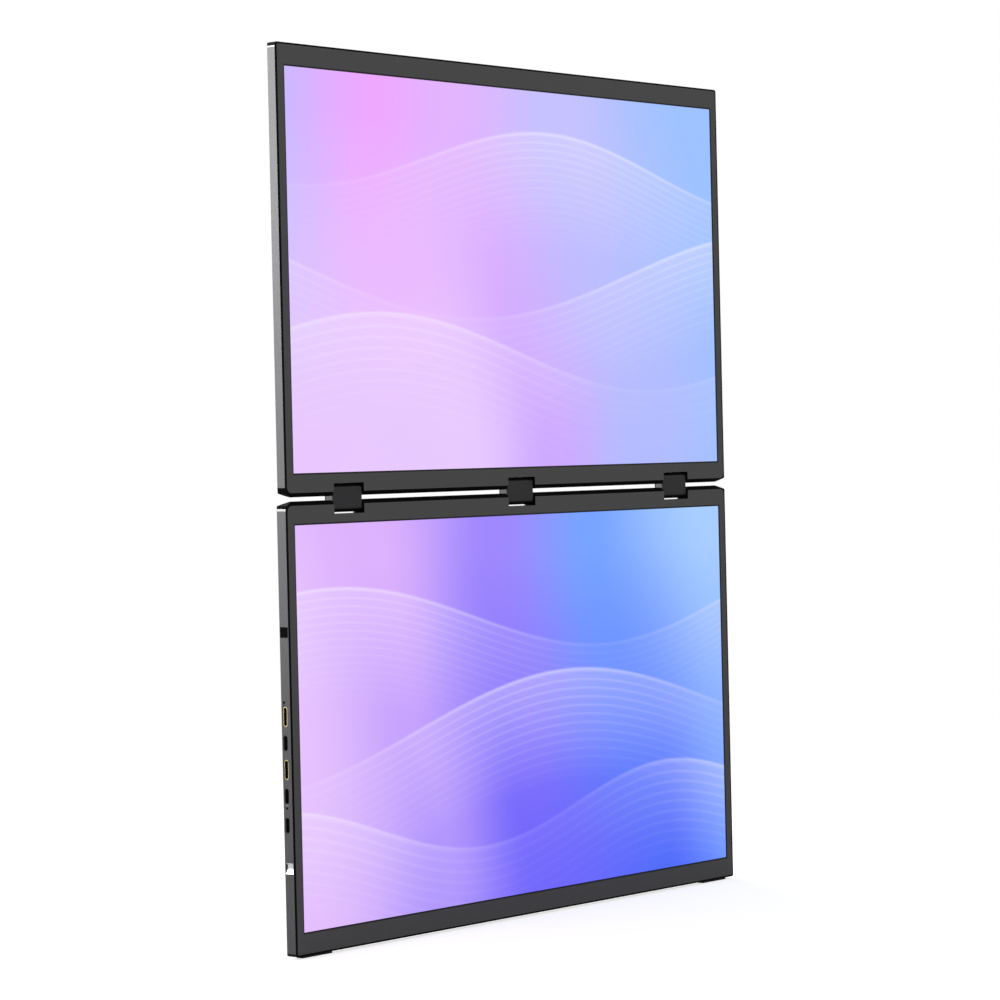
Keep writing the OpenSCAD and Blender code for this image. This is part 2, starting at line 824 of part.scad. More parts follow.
module shell(s, size, wall, l) {
    along_x(-half_w + mouth_x, -half_w + mouth_x + l) translate([socket_y, s]) difference() {
        rotate(90) stadium(size[0], size[1]);
        rotate(90) stadium(size[0] - 2 * wall, size[1] - 2 * wall);
    }
    along_x(-half_w + mouth_x + l - 0.4, -half_w + mouth_x + l) translate([socket_y, s])
        rotate(90) stadium(size[0], size[1]);
}

module usb_c_shells() color("#b9bcc0") lower()
    for (s = usb_s)
        shell(s, usb_size, usb_wall, usb_l);

module mini_hdmi_shells() color("#c9a24a") lower()
    for (s = hdmi_s)
        shell(s, hdmi_size, hdmi_wall, hdmi_l);

// Plastic tongues with the contacts, one in each socket
module socket_tongues() color("#19191b") lower() {
    for (s = usb_s)
        span([-half_w + 1, -half_w + mouth_x + usb_l - 0.4], [socket_y - 0.35, socket_y + 0.35],
            [s - 3.3, s + 3.3]);
    for (s = hdmi_s)
        span([-half_w + 1, -half_w + mouth_x + hdmi_l - 0.4], [socket_y - 0.45, socket_y + 0.25],
            [s - 4, s + 4]);
}

// Flat speakers; the diaphragm lies in a shallow recess that faces the slots
module speakers() color("#222326") lower() both_sides() {
    back = lower_t - cover_wall - 0.2;
    difference() {
        along_y(back - speaker_size[2], back)
            round_box([speaker_x - speaker_size[0] / 2, speaker_x + speaker_size[0] / 2],
                [speaker_s - speaker_size[1] / 2, speaker_s + speaker_size[1] / 2], 3);
        along_y(back - 0.8, back + 1) translate([speaker_x, speaker_s]) stadium(38, 12);
    }
    along_y(back - 1, back - 0.3) translate([speaker_x, speaker_s]) stadium(33, 7);
}

// Small board with one push switch behind each key
module key_board() color("#1d4b34") lower() {
    span([198.5, 208.8], [5.3, 6.1], [108, 158]);
    for (s = key_s) {
        span([205.6, 209.2], [3.3, 5.3], [s - 2, s + 2]);
        rod_x(209.2, 209.8, key_y, s, 0.6);
    }
}

// Rubber feet pressed into pockets; two grooves across each foot leave three treads
module feet() color("#1a1a1b") lower() both_sides()
    difference() {
        span([foot_x - foot_l / 2, foot_x + foot_l / 2], foot_y, [far_s - foot_in, far_s + foot_h]);
        for (g = [-1, 1])
            span([foot_x + g * foot_l / 6 - foot_groove / 2, foot_x + g * foot_l / 6 + foot_groove / 2],
                [foot_y[0] - 1, foot_y[1] + 1], [far_s + foot_h - 1, far_s + foot_h + 1]);
    }

// Black blocks at the kickstand pivot; their outer ends close the openings in the side walls
module pivot_housings() color("#101011") lower() both_sides() difference() {
    union() {
        span(housing_x, [board_y + 0.1, lower_t - 0.05], [housing_s[0], recess_top - 0.1]);
        span(housing_x, [board_y + 0.1, recess_y - 0.05], housing_s);
        span([arm_slot_x[1], half_w - side_wall - 0.1], [board_y + 0.1, lower_edge_t - 1.5],
            housing_s);
        span([half_w - 4, half_w - 0.3], [cap_y[0] + 0.05, cap_y[1] - 0.05],
            [cap_s[0] + 0.05, cap_s[1] - 0.05]);
    }
    span(arm_slot_x, [0, 20], arm_slot_s);
    rod_x(arm_slot_x[0] - housing_wall, half_w - 3, pivot_y, pivot_s, pin_r + 0.01);
}

module pivot_pins() color("#c3c6ca") lower() both_sides()
    rod_x(arm_slot_x[0] - housing_wall + 0.2, half_w - 3.1, pivot_y, pivot_s, pin_r);

// Bright dished inserts that give a grip beside the kickstand
module grip_inserts() color("#d5d7da") lower() both_sides() difference() {
    span([half_w - 3.5, half_w - 0.1], [grip_y[0] + 0.05, grip_y[1] - 0.05],
        [grip_s - grip_h / 2 + 0.05, grip_s + grip_h / 2 - 0.05]);
    rod_y(half_w + 3.4, grip_s, 0, 20, 4.6);
}

// ---------- hinge blocks ----------

module block_outline(r) {
    translate([axis_y, 0]) rotate(90) stadium(axis_gap + 2 * r, 2 * r);
}

// Open-ended sleeve round the works of one hinge
module hinge_sleeve(k) color("#333437") place()
    along_x(block_x[k] - block_w / 2, block_x[k] + block_w / 2) difference() {
        block_outline(block_r);
        block_outline(block_r - sleeve_wall);
    }

module left_hinge_sleeve() hinge_sleeve(0);

module middle_hinge_sleeve() hinge_sleeve(1);

module right_hinge_sleeve() hinge_sleeve(2);

// One plate across both axes, with a hole for each shaft
module link_plate(x0, x1, lower_r, upper_r) {
    along_x(x0, x1) difference() {
        block_outline(block_r - sleeve_wall - 0.02);
        translate([axis_y, -axis_s]) circle(lower_r);
        translate([axis_y, axis_s]) circle(upper_r);
    }
}

// Link plates on both shafts, between two end plates
module friction_pack(k) color("#a4a7ab") place() translate([block_x[k], 0, 0]) {
    for (side = [-1, 1])
        link_plate((side * (block_w - end_plate_t) - end_plate_t) / 2,
            (side * (block_w - end_plate_t) + end_plate_t) / 2, shaft_r + 0.04, shaft_r + 0.04);
    for (n = [0 : plate_count - 1])
        let (x = (n + 1) * disc_gap + n * plate_t - pack_w / 2)
            link_plate(x, x + plate_t, shaft_r + 0.03, shaft_r + 0.03);
}

module left_friction_pack() friction_pack(0);

module right_friction_pack() friction_pack(2);

// End plates of the middle block: one hole of each passes the cable barrel
module middle_end_plates() color("#a4a7ab") place() {
    link_plate(-block_w / 2, -block_w / 2 + end_plate_t, barrel_r + 0.05, barrel_r + 0.05);
    link_plate(block_w / 2 - end_plate_t, block_w / 2, shaft_r + 0.04, shaft_r + 0.04);
}

// Piece of the cable that crosses inside the middle block
module link_cable() color("#101012") place() {
    x = -barrel_in + 0.3;
    for (s = [-axis_s, axis_s])
        rod_x(x, x + 2, axis_y, s, cable_r);
    for (s = [-axis_s, axis_s])
        translate([x + 2, axis_y, s]) sphere(r = cable_r);
    translate([x + 2, axis_y, -axis_s]) cylinder(r = cable_r, h = 2 * axis_s);
}

// ---------- upper panel ----------

module upper_rear_cover() color("#6f7074") upper() {
    rear_cover(upper_edge_t, upper_t, upper_notch_s, upper_side_s);
    ribs([-180 : 60 : 180], [50, 115, 180, 240], [-192, 192], [40, 246], upper_t - cover_wall);
}

module upper_hinge_rail() color("#17181a") upper()
    hinge_rail(upper_edge_t, upper_t, upper_notch_s, upper_side_s) barrel_bore_in_rail();

module upper_mid_frame() color("#17181a") upper() mid_frame(upper_edge_t, upper_t);

module upper_bezel() color("#45464a") upper() bezel(upper_notch_s);

module upper_lcd_cell() color("#b79af0") upper() lcd_cell();

module upper_light_guide() color("#eef2f4") upper() light_guide();

module upper_led_bar() color("#f2eecb") upper() led_bar();

module upper_module_tray() color("#a9acb0") upper() module_tray();

module upper_driver_board() color("#1d4b34") upper() driver_board(cable_x, 2);

module upper_hinge_brackets() color("#9a9da1") upper() hinge_brackets();

module upper_hinge_shafts() color("#c3c6ca") upper() hinge_shafts();

module upper_friction_discs() color("#b9a46a") upper() friction_discs();

module upper_cable_barrel() color("#c3c6ca") upper() cable_barrel();

module upper_bracket_screws() color("#8c8f93") upper() bracket_screw_set();

module upper_cover_screws() color("#2b2c2e") upper() cover_screw_set(upper_t);

module upper_cable() color("#101012") upper() panel_cable(26.9);

// ---------- kickstand ----------

// Plate that closes flush with the back of the lower panel
module kickstand_plate() color("#7b7c80") lower() difference() {
    along_y(stand_y, lower_t) round_box([-stand_x, stand_x], [stand_top, stand_end], stand_r);
    both_sides()
        span([arm_x[0] - 6, arm_x[1]], [stand_y - 1, stand_y + pad_t], [stand_top - 1, pad_end]);
    along_y(stand_y - 1, lower_t + 1) strip_outline();
}

// Long notch in the free edge that the rubber strip fills
module strip_outline() {
    translate([-150, stand_end - 2]) square([300, 3]);
}

module kickstand_edge_strip() color("#1a1a1b") lower() intersection() {
    along_y(stand_y, lower_t) strip_outline();
    span([-half_w, half_w], [0, 20], [0, stand_end]);
}

// Goosenecks from the plate round to the pivot pins
module kickstand_arms() color("#9a9da1") lower() both_sides() difference() {
    union() {
        span([arm_x[0] - 6, arm_x[1]], [stand_y, stand_y + pad_t], [stand_top, pad_end]);
        along_x(arm_x[0], arm_x[1]) {
            translate([pivot_y, pivot_s]) circle(arm_boss_r);
            polygon([
                [pivot_y - arm_boss_r * 0.95, pivot_s + 0.6], [pivot_y + arm_boss_r * 0.95, pivot_s - 0.6],
                [stand_y + pad_t, stand_top], [stand_y + pad_t, stand_top + 4],
                [stand_y, stand_top + 4], [pivot_y, pivot_s + 4.5],
            ]);
        }
    }
    rod_x(arm_x[0] - 1, arm_x[1] + 1, pivot_y, pivot_s, pin_r + 0.05);
    for (s = [stand_top + 8, stand_top + 16])
        rod_y(arm_x[0] + 1, s, 0, 20, screw_r + 0.05);
}

module kickstand_screws() color("#8c8f93") lower() both_sides()
    for (s = [stand_top + 8, stand_top + 16])
        rod_y(arm_x[0] + 1, s, stand_y, stand_y + pad_t, screw_r);

// ---------- keys ----------

// Key cap with an inner flange; k counts down the right edge
module key_cap(k) {
    along_x(half_w - side_wall - 0.3, half_w) translate([key_y, key_s[k]])
        rotate(90) stadium(key_l[k], key_w);
    along_x(half_w - side_wall - 0.9, half_w - side_wall - 0.3) translate([key_y, key_s[k]])
        rotate(90) stadium(key_l[k] + 1.6, key_w + 0.4);
}

module power_key() color("#2b2c2e") lower() key_cap(0);

module plus_key() color("#2b2c2e") lower() key_cap(1);

module minus_key() color("#2b2c2e") lower() key_cap(2);

// ---------- pieces by name ----------

lower_rear_cover();
lower_hinge_rail();
lower_mid_frame();
lower_bezel();
lower_lcd_cell();
lower_light_guide();
lower_led_bar();
lower_module_tray();
lower_driver_board();
lower_hinge_brackets();
lower_hinge_shafts();
lower_friction_discs();
lower_cable_barrel();
lower_bracket_screws();
lower_cover_screws();
lower_cable();
main_board();
board_screws();
board_chips();
shield_can();
usb_c_shells();
mini_hdmi_shells();
socket_tongues();
speakers();
display_ribbon();
key_board();
feet();
pivot_housings();
pivot_pins();
grip_inserts();
left_hinge_sleeve();
middle_hinge_sleeve();
right_hinge_sleeve();
left_friction_pack();
middle_end_plates();
right_friction_pack();
link_cable();
upper_rear_cover();
upper_hinge_rail();
upper_mid_frame();
upper_bezel();
upper_lcd_cell();
upper_light_guide();
upper_led_bar();
upper_module_tray();
upper_driver_board();
upper_hinge_brackets();
upper_hinge_shafts();
upper_friction_discs();
upper_cable_barrel();
upper_bracket_screws();
upper_cover_screws();
upper_cable();
kickstand_plate();
kickstand_arms();
kickstand_screws();
kickstand_edge_strip();
power_key();
plus_key();
minus_key();
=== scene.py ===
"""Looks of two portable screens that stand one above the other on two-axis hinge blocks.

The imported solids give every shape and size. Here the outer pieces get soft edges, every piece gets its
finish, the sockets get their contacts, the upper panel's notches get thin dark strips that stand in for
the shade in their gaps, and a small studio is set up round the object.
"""

import json
import logging
import math
from dataclasses import dataclass, fields
from enum import Enum
from typing import Iterable, Optional, Sequence, Union

import bmesh
import bpy
from mathutils import Matrix, Vector


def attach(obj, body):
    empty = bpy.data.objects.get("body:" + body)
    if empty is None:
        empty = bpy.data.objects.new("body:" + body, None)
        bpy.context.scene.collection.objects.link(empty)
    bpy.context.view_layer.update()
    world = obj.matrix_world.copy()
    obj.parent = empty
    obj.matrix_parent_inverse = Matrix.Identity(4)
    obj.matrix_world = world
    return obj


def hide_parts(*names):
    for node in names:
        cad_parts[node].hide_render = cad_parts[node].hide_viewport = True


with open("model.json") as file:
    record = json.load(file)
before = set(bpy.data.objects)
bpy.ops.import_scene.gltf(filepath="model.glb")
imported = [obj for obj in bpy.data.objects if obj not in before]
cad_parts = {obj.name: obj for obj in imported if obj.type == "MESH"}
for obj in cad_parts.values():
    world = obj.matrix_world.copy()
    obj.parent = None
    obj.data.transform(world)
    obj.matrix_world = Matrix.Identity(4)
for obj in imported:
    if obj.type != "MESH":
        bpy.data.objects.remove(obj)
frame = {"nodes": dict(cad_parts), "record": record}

LOG = logging.getLogger("screen_extender")
MM = 0.001

Socket = bpy.types.NodeSocket
Value = Union[Socket, float, int, Sequence[float]]
Values = dict[Union[str, int], Value]
Span = tuple[float, float]
Point = tuple[float, float, float]
Colour = tuple[float, float, float]
Stops = tuple[tuple[float, Colour], ...]

WHITE: Colour = (1.0, 1.0, 1.0)
SHARE: Span = (0.0, 1.0)
# Where the values of a noise node mostly lie, and the narrower span that parts its flecks
NOISE_SPAN: Span = (0.3, 0.7)
FLECK_SPAN: Span = (0.35, 0.65)
# More than all heights on the object, in metres
EVERYWHERE: Span = (-1.0, 1.0)
# Middles of the two pinholes in the lower panel's left wall, in metres
PINHOLES: tuple[Point, ...] = ((-0.2125, 0.0004, 0.14525), (-0.2125, -0.0001, 0.08555))
# Half the width of a lit area, and the heights of the lower and of the upper one, in metres
LIT_HALF_W = 0.2049
LOWER_LIT: Span = (0.0146, 0.2450)
UPPER_LIT: Span = (0.2745, 0.5049)


class Panel(Enum):
    """The two panels, by the first word of their nodes' names."""

    LOWER = "lower"
    UPPER = "upper"


class Edge(Enum):
    """How wide the broken edge of a kind of piece is, in metres."""

    SHEET = 0.00006
    MOULDED = 0.00015
    METAL = 0.00022


class Axis(Enum):
    """The Object coordinates, by their place among a node's outputs."""

    X = 0
    Y = 1
    Z = 2


# ---------- shader nodes ----------


class Shader:
    """The node tree of a material or the world, with short calls for the nodes of the finishes."""

    noise_rough: float = 0.55

    def __init__(self, owner: Union[bpy.types.Material, bpy.types.World]) -> None:
        """Empties the owner's node tree.

        Args:
            owner: the material or world that the nodes belong to.
        """
        owner.use_nodes = True
        self.owner = owner
        self.tree = owner.node_tree
        self.tree.nodes.clear()
        self.place = self.add("ShaderNodeTexCoord").outputs["Object"]

    @classmethod
    def named(cls, name: str) -> "Shader":
        """Returns the empty node tree of a new material."""
        return cls(bpy.data.materials.new(name))

    def add(self, kind: str, values: Optional[Values] = None, **settings: object) -> bpy.types.Node:
        """Adds a node.

        Args:
            kind: the node's type name.
            values: what goes into its inputs: a socket is linked, anything else is set.
            settings: the node's own properties.

        Returns:
            The new node.
        """
        node = self.tree.nodes.new(kind)
        for key, value in settings.items():
            setattr(node, key, value)
        for key, value in (values or {}).items():
            if isinstance(value, bpy.types.NodeSocket):
                self.tree.links.new(value, node.inputs[key])
            else:
                node.inputs[key].default_value = value
        return node

    def math(self, operation: str, *values: Value) -> Socket:
        """Returns the result of a Math node on up to three values."""
        return self.add("ShaderNodeMath", dict(enumerate(values)), operation=operation).outputs[0]

    def axis(self, axis: Axis) -> Socket:
        """Returns one of the Object coordinates."""
        return self.add("ShaderNodeSeparateXYZ", {0: self.place}).outputs[axis.value]

    def stretched(self, scale: Sequence[float]) -> Socket:
        """Returns Object coordinates multiplied by scale along each axis."""
        return self.add("ShaderNodeMapping", {"Vector": self.place, "Scale": scale}).outputs["Vector"]

    def noise(self, scale: float, detail: float = 2.0, place: Optional[Socket] = None) -> Socket:
        """Returns noise from 0 to 1; scale is in cycles per metre."""
        values = {"Vector": place or self.place, "Scale": scale, "Detail": detail}
        return self.add("ShaderNodeTexNoise", {**values, "Roughness": self.noise_rough}).outputs["Fac"]

    def cells(self, scale: float, randomness: float = 1.0) -> Socket:
        """Returns the distance to the middle of the nearest cell; scale is in cells per metre."""
        values = {"Vector": self.place, "Scale": scale, "Randomness": randomness}
        return self.add("ShaderNodeTexVoronoi", values).outputs["Distance"]

    def waves(self, scale: float, distortion: float, axis: Axis) -> Socket:
        """Returns bands that follow each other along an axis."""
        values = {"Vector": self.place, "Scale": scale, "Distortion": distortion}
        return self.add("ShaderNodeTexWave", values, bands_direction=axis.name).outputs["Color"]

    def spread(self, value: Value, source: Span, target: Span = SHARE) -> Socket:
        """Carries a value from one range onto another, and holds it there.

        Args:
            value: the value.
            source: the range it comes from.
            target: the range it goes to.

        Returns:
            The result.
        """
        values = {
            "Value": value,
            "From Min": source[0], "From Max": source[1],
            "To Min": target[0], "To Max": target[1],
        }
        return self.add("ShaderNodeMapRange", values, clamp=True).outputs["Result"]

    def vary(self, noise: Value, middle: float, swing: float) -> Socket:
        """Returns middle, moved up and down by swing as noise goes."""
        return self.spread(noise, NOISE_SPAN, (middle - swing, middle + swing))

    def within(self, value: Value, span: Span) -> Socket:
        """Returns 1 where value lies between the ends of span, and 0 elsewhere."""
        over, under = self.math("GREATER_THAN", value, span[0]), self.math("LESS_THAN", value, span[1])
        return self.math("MULTIPLY", over, under)

    def beyond(self, value: Value, span: Span) -> Socket:
        """Returns 1 where value lies past an end of span, and 0 elsewhere."""
        under, over = self.math("LESS_THAN", value, span[0]), self.math("GREATER_THAN", value, span[1])
        return self.math("MAXIMUM", under, over)

    def near(self, middle: Point, reach: float) -> Socket:
        """Returns 1 where the surface is nearer to middle than reach, and 0 elsewhere."""
        away = self.add("ShaderNodeVectorMath", {0: self.place, 1: middle}, operation="DISTANCE")
        return self.math("LESS_THAN", away.outputs["Value"], reach)

    def mix(self, share: Value, first: Value, second: Value) -> Socket:
        """Mixes two colours.

        Args:
            share: 0 for the first colour and 1 for the second.
            first: a colour or its socket.
            second: a colour or its socket.

        Returns:
            The colour between them.
        """
        node = self.add("ShaderNodeMix", data_type="RGBA")
        share_input, first_input, second_input = node.inputs[0], node.inputs[6], node.inputs[7]
        for socket, value in ((share_input, share), (first_input, first), (second_input, second)):
            if isinstance(value, bpy.types.NodeSocket):
                self.tree.links.new(value, socket)
            else:
                socket.default_value = value if socket is share_input else opaque(value)
        return node.outputs[2]

    def mottled(self, noise: Value, colour: Colour, tints: Span) -> Socket:
        """Returns a colour that noise carries from its darker to its lighter tint."""
        return self.mix(noise, tinted(colour, tints[0]), tinted(colour, tints[1]))

    def flecked(self, tone: Socket, grain: Socket, fleck: Sequence[float], share: float) -> Socket:
        """Returns tone with a share of a fleck's colour where the grain is high."""
        return self.mix(self.spread(grain, FLECK_SPAN, (0.0, share)), tone, fleck)

    def ramp(self, share: Value, stops: Stops) -> Socket:
        """Returns the colour that a ramp has at share.

        Args:
            share: where on the ramp, from 0 to 1.
            stops: position and colour of each stop, in order.

        Returns:
            The colour socket.
        """
        node = self.add("ShaderNodeValToRGB", {"Fac": share})
        ramp = node.color_ramp
        ramp.interpolation = "EASE"
        first, last = ramp.elements[0], ramp.elements[1]
        first.position, first.color = stops[0][0], opaque(stops[0][1])
        last.position, last.color = stops[-1][0], opaque(stops[-1][1])
        for position, colour in stops[1:-1]:
            ramp.elements.new(position).color = opaque(colour)
        return node.outputs["Color"]

    def bump(self, height: Value, depth: float) -> Socket:
        """Returns a normal for a surface whose height goes from 0 to depth metres."""
        values = {"Height": height, "Strength": 1.0, "Distance": depth}
        return self.add("ShaderNodeBump", values).outputs["Normal"]

    def surface(self, values: Values) -> None:
        """Adds the Principled shader with these inputs and makes it the material's surface."""
        self.output(self.add("ShaderNodeBsdfPrincipled", values).outputs["BSDF"])

    def output(self, socket: Socket) -> None:
        """Makes a shader socket the material's surface."""
        self.add("ShaderNodeOutputMaterial", {"Surface": socket})


def opaque(colour: Sequence[float]) -> tuple[float, float, float, float]:
    """Returns a colour of three numbers with a full alpha."""
    return (colour[0], colour[1], colour[2], 1.0)


def tinted(colour: Sequence[float], factor: float) -> tuple[float, float, float, float]:
    """Returns a colour made lighter or darker by a factor."""
    return opaque([min(1.0, channel * factor) for channel in colour])


def grey(level: float) -> Colour:
    """Returns a grey."""
    return (level, level, level)


# ---------- finishes ----------

# Lengths are in metres. Grain, cloud, weave, stain, skin, dust and patch are in cycles per metre, tints
# are factors on the colour, gloss is the specular level, and swing is how far the roughness goes up and
# down with the noise.


@dataclass(frozen=True)
class BlastedMetal:
    """Sheet metal with a fine blasted grain under a thin dark coat.

    Past its unshaded heights, where the far corners round off, and inside the pinholes, it is painted black
    as painted shade.
    The side walls get painted highlights: lighter strips at the highlight heights, at the top ends of the
    walls.
    """

    name: str
    colour: Colour
    roughness: float
    bare: Span = EVERYWHERE
    # the pinholes and the reach of the painted shade in them
    pinholes: tuple[Point, ...] = ()
    pinhole_r: float = 0.00085
    # painted highlights: lighter strips at the top ends of the side walls, where their roundings would catch
    # the high lamp
    cuts: tuple[Span, ...] = ((0.2531, 0.25445), (0.5151, 0.5160))
    cut_x: float = 0.2123
    cut_colour: Colour = (0.30, 0.30, 0.305)
    # painted shade: the black of the bands past the unshaded heights and inside the pinholes
    paint: Colour = (0.005, 0.005, 0.0055)
    paint_rough: float = 0.25
    grain: float = 5200.0
    cloud: float = 14.0
    tints: Span = (0.94, 1.06)
    fleck: float = 1.5
    fleck_share: float = 0.12
    swing: float = 0.05
    metal: float = 0.9
    gloss: float = 0.1
    depth: float = 0.000006

    def material(self) -> bpy.types.Material:
        """Builds the material.

        Returns:
            The material.
        """
        shader = Shader.named(self.name)
        grain = shader.noise(self.grain, detail=3.0)
        tone = shader.mottled(shader.noise(self.cloud, detail=3.0), self.colour, self.tints)
        metal = shader.flecked(tone, grain, tinted(self.colour, self.fleck), self.fleck_share)
        height = shader.axis(Axis.Z)
        beside = shader.beyond(shader.axis(Axis.X), (-self.cut_x, self.cut_x))
        # painted highlight: the lighter strips on the side walls
        for highlight in self.cuts:
            share = shader.math("MULTIPLY", beside, shader.within(height, highlight))
            metal = shader.mix(share, metal, self.cut_colour)
        # painted shade: black past the unshaded heights, where the rounded far corners would show a dark
        # reflection
        painted_shade = shader.beyond(height, self.bare)
        # painted shade: black inside each pinhole, where its lit inner wall would show
        for middle in self.pinholes:
            painted_shade = shader.math("MAXIMUM", painted_shade, shader.near(middle, self.pinhole_r))
        rough = shader.vary(grain, self.roughness, self.swing)
        shader.surface({
            "Base Color": shader.mix(painted_shade, metal, self.paint),
            "Metallic": shader.math("MULTIPLY", shader.math("SUBTRACT", 1.0, painted_shade), self.metal),
            "Roughness": shader.math("MULTIPLY_ADD", painted_shade, self.paint_rough, rough),
            "Specular IOR Level": self.gloss,
            "Normal": shader.bump(grain, self.depth),
        })
        return shader.owner


@dataclass(frozen=True)
class MouldedPlastic:
    """Injection-moulded plastic with a fine eroded texture, black past the heights of its face as painted
    shade on the hinge sleeves' rounded ends.
    """

    name: str
    colour: Colour
    roughness: float
    gloss: float
    grain: float = 4200.0
    depth: float = 0.000008
    face: Span = EVERYWHERE
    # the colour of the painted shade past the face heights
    black: Colour = (0.003, 0.003, 0.0032)
    cloud: float = 30.0
    tints: Span = (0.88, 1.12)
    swing: float = 0.06

    def material(self) -> bpy.types.Material:
        """Builds the material.

        Returns:
            The material.
        """
        shader = Shader.named(self.name)
        grain = shader.noise(self.grain)
        tone = shader.mottled(shader.noise(self.cloud), self.colour, self.tints)
        # painted shade: black past the face heights, standing in for the shade on the sleeves' rounded ends
        beyond = shader.beyond(shader.axis(Axis.Z), self.face)
        shader.surface({
            "Base Color": shader.mix(beyond, tone, self.black),
            "Roughness": shader.vary(grain, self.roughness, self.swing),
            "Specular IOR Level": self.gloss,
            "Normal": shader.bump(grain, self.depth),
        })
        return shader.owner


@dataclass(frozen=True)
class BezelSheet:
    """Printed plastic sheet with a fine matte texture, and a black line round each screen's window."""

    name: str
    colour: Colour
    roughness: float = 0.64
    windows: tuple[Span, ...] = (LOWER_LIT, UPPER_LIT)
    line_w: float = 0.0010
    line: Colour = (0.012, 0.012, 0.01)
    weave: float = 9000.0
    cloud: float = 22.0
    tints: Span = (0.96, 1.04)
    fleck: float = 1.6
    fleck_share: float = 0.1
    swing: float = 0.06
    gloss: float = 0.2
    depth: float = 0.000003

    def material(self) -> bpy.types.Material:
        """Builds the material.

        Returns:
            The material.
        """
        shader = Shader.named(self.name)
        weave = shader.noise(self.weave, detail=1.0)
        tone = shader.mottled(shader.noise(self.cloud), self.colour, self.tints)
        printed = shader.flecked(tone, weave, tinted(self.colour, self.fleck), self.fleck_share)
        height = shader.axis(Axis.Z)
        half_w = LIT_HALF_W + self.line_w
        across = shader.within(shader.axis(Axis.X), (-half_w, half_w))
        for low, high in self.windows:
            up = shader.within(height, (low - self.line_w, high + self.line_w))
            printed = shader.mix(shader.math("MULTIPLY", across, up), printed, self.line)
        shader.surface({
            "Base Color": printed,
            "Roughness": shader.vary(weave, self.roughness, self.swing),
            "Specular IOR Level": self.gloss,
            "Normal": shader.bump(weave, self.depth),
        })
        return shader.owner


@dataclass(frozen=True)
class BareMetal:
    """Bare metal with fine lines from grinding or drawing along one axis."""

    name: str
    colour: Colour
    roughness: float
    along: Point = (120.0, 6000.0, 6000.0)
    stain: float = 160.0
    tints: Span = (0.9, 1.08)
    swing: float = 0.07
    depth: float = 0.000002

    def material(self) -> bpy.types.Material:
        """Builds the material.

        Returns:
            The material.
        """
        shader = Shader.named(self.name)
        lines = shader.noise(1.0, detail=3.0, place=shader.stretched(self.along))
        stain = shader.noise(self.stain, detail=3.0)
        shader.surface({
            "Base Color": shader.mottled(stain, self.colour, self.tints),
            "Metallic": 1.0,
            "Roughness": shader.vary(lines, self.roughness, self.swing),
            "Normal": shader.bump(lines, self.depth),
        })
        return shader.owner


@dataclass(frozen=True)
class SocketShell:
    """Plated shell of a socket: bright at its mouth, and painted black behind it as painted shade for the
    socket's dark inside.
    """

    name: str
    colour: Colour
    roughness: float = 0.22
    mouth: float = -0.21214
    # colour and roughness of the painted shade inside the socket
    lining: Colour = (0.004, 0.004, 0.004)
    lining_rough: float = 0.7
    stain: float = 900.0
    tints: Span = (0.9, 1.1)
    gloss: float = 0.1
    depth: float = 0.000002

    def material(self) -> bpy.types.Material:
        """Builds the material.

        Returns:
            The material.
        """
        shader = Shader.named(self.name)
        # painted shade: black, non-metal behind the mouth, standing in for the shade inside the socket
        shaded_inside = shader.math("GREATER_THAN", shader.axis(Axis.X), self.mouth)
        stain = shader.noise(self.stain, detail=3.0)
        plate = shader.mottled(stain, self.colour, self.tints)
        shader.surface({
            "Base Color": shader.mix(shaded_inside, plate, self.lining),
            "Metallic": shader.math("SUBTRACT", 1.0, shaded_inside),
            "Roughness": shader.spread(shaded_inside, SHARE, (self.roughness, self.lining_rough)),
            "Specular IOR Level": self.gloss,
            "Normal": shader.bump(stain, self.depth),
        })
        return shader.owner


@dataclass(frozen=True)
class Rubber:
    """Soft rubber or a cable's jacket, with a little dust on it."""

    name: str
    colour: Colour
    roughness: float
    skin: float = 3000.0
    dust: float = 420.0
    dust_span: Span = (0.55, 0.8)
    dust_share: float = 0.3
    dust_tint: float = 2.2
    swing: float = 0.07
    gloss: float = 0.35
    depth: float = 0.00001

    def material(self) -> bpy.types.Material:
        """Builds the material.

        Returns:
            The material.
        """
        shader = Shader.named(self.name)
        skin = shader.noise(self.skin, detail=4.0)
        dust = shader.noise(self.dust, detail=4.0)
        dusty = shader.spread(dust, self.dust_span, (0.0, self.dust_share))
        shader.surface({
            "Base Color": shader.mix(dusty, self.colour, tinted(self.colour, self.dust_tint)),
            "Roughness": shader.vary(skin, self.roughness, self.swing),
            "Specular IOR Level": self.gloss,
            "Normal": shader.bump(skin, self.depth),
        })
        return shader.owner


@dataclass(frozen=True)
class CircuitBoard:
    """Solder mask over copper tracks, with tinned pads."""

    name: str
    colour: Colour
    across: float = 190.0
    across_bend: float = 2.0
    along: float = 150.0
    along_bend: float = 3.0
    patch: float = 70.0
    track_span: Span = (0.55, 0.7)
    track_tint: float = 2.1
    pad_scale: float = 420.0
    pad_r: float = 0.16
    pad_colour: Colour = (0.5, 0.49, 0.45)
    pad_metal: float = 0.8
    rough: Span = (0.32, 0.42)
    depth: float = 0.00002

    def material(self) -> bpy.types.Material:
        """Builds the material.

        Returns:
            The material.
        """
        shader = Shader.named(self.name)
        across = shader.waves(self.across, self.across_bend, Axis.X)
        along = shader.waves(self.along, self.along_bend, Axis.Z)
        where = shader.math("GREATER_THAN", shader.noise(self.patch, detail=0.0), 0.5)
        tracks = shader.spread(shader.mix(where, across, along), self.track_span)
        pads = shader.math("LESS_THAN", shader.cells(self.pad_scale), self.pad_r)
        mask = shader.mix(tracks, self.colour, tinted(self.colour, self.track_tint))
        shader.surface({
            "Base Color": shader.mix(pads, mask, self.pad_colour),
            "Metallic": shader.math("MULTIPLY", pads, self.pad_metal),
            "Roughness": shader.spread(tracks, SHARE, self.rough),
            "Normal": shader.bump(tracks, self.depth),
        })
        return shader.owner


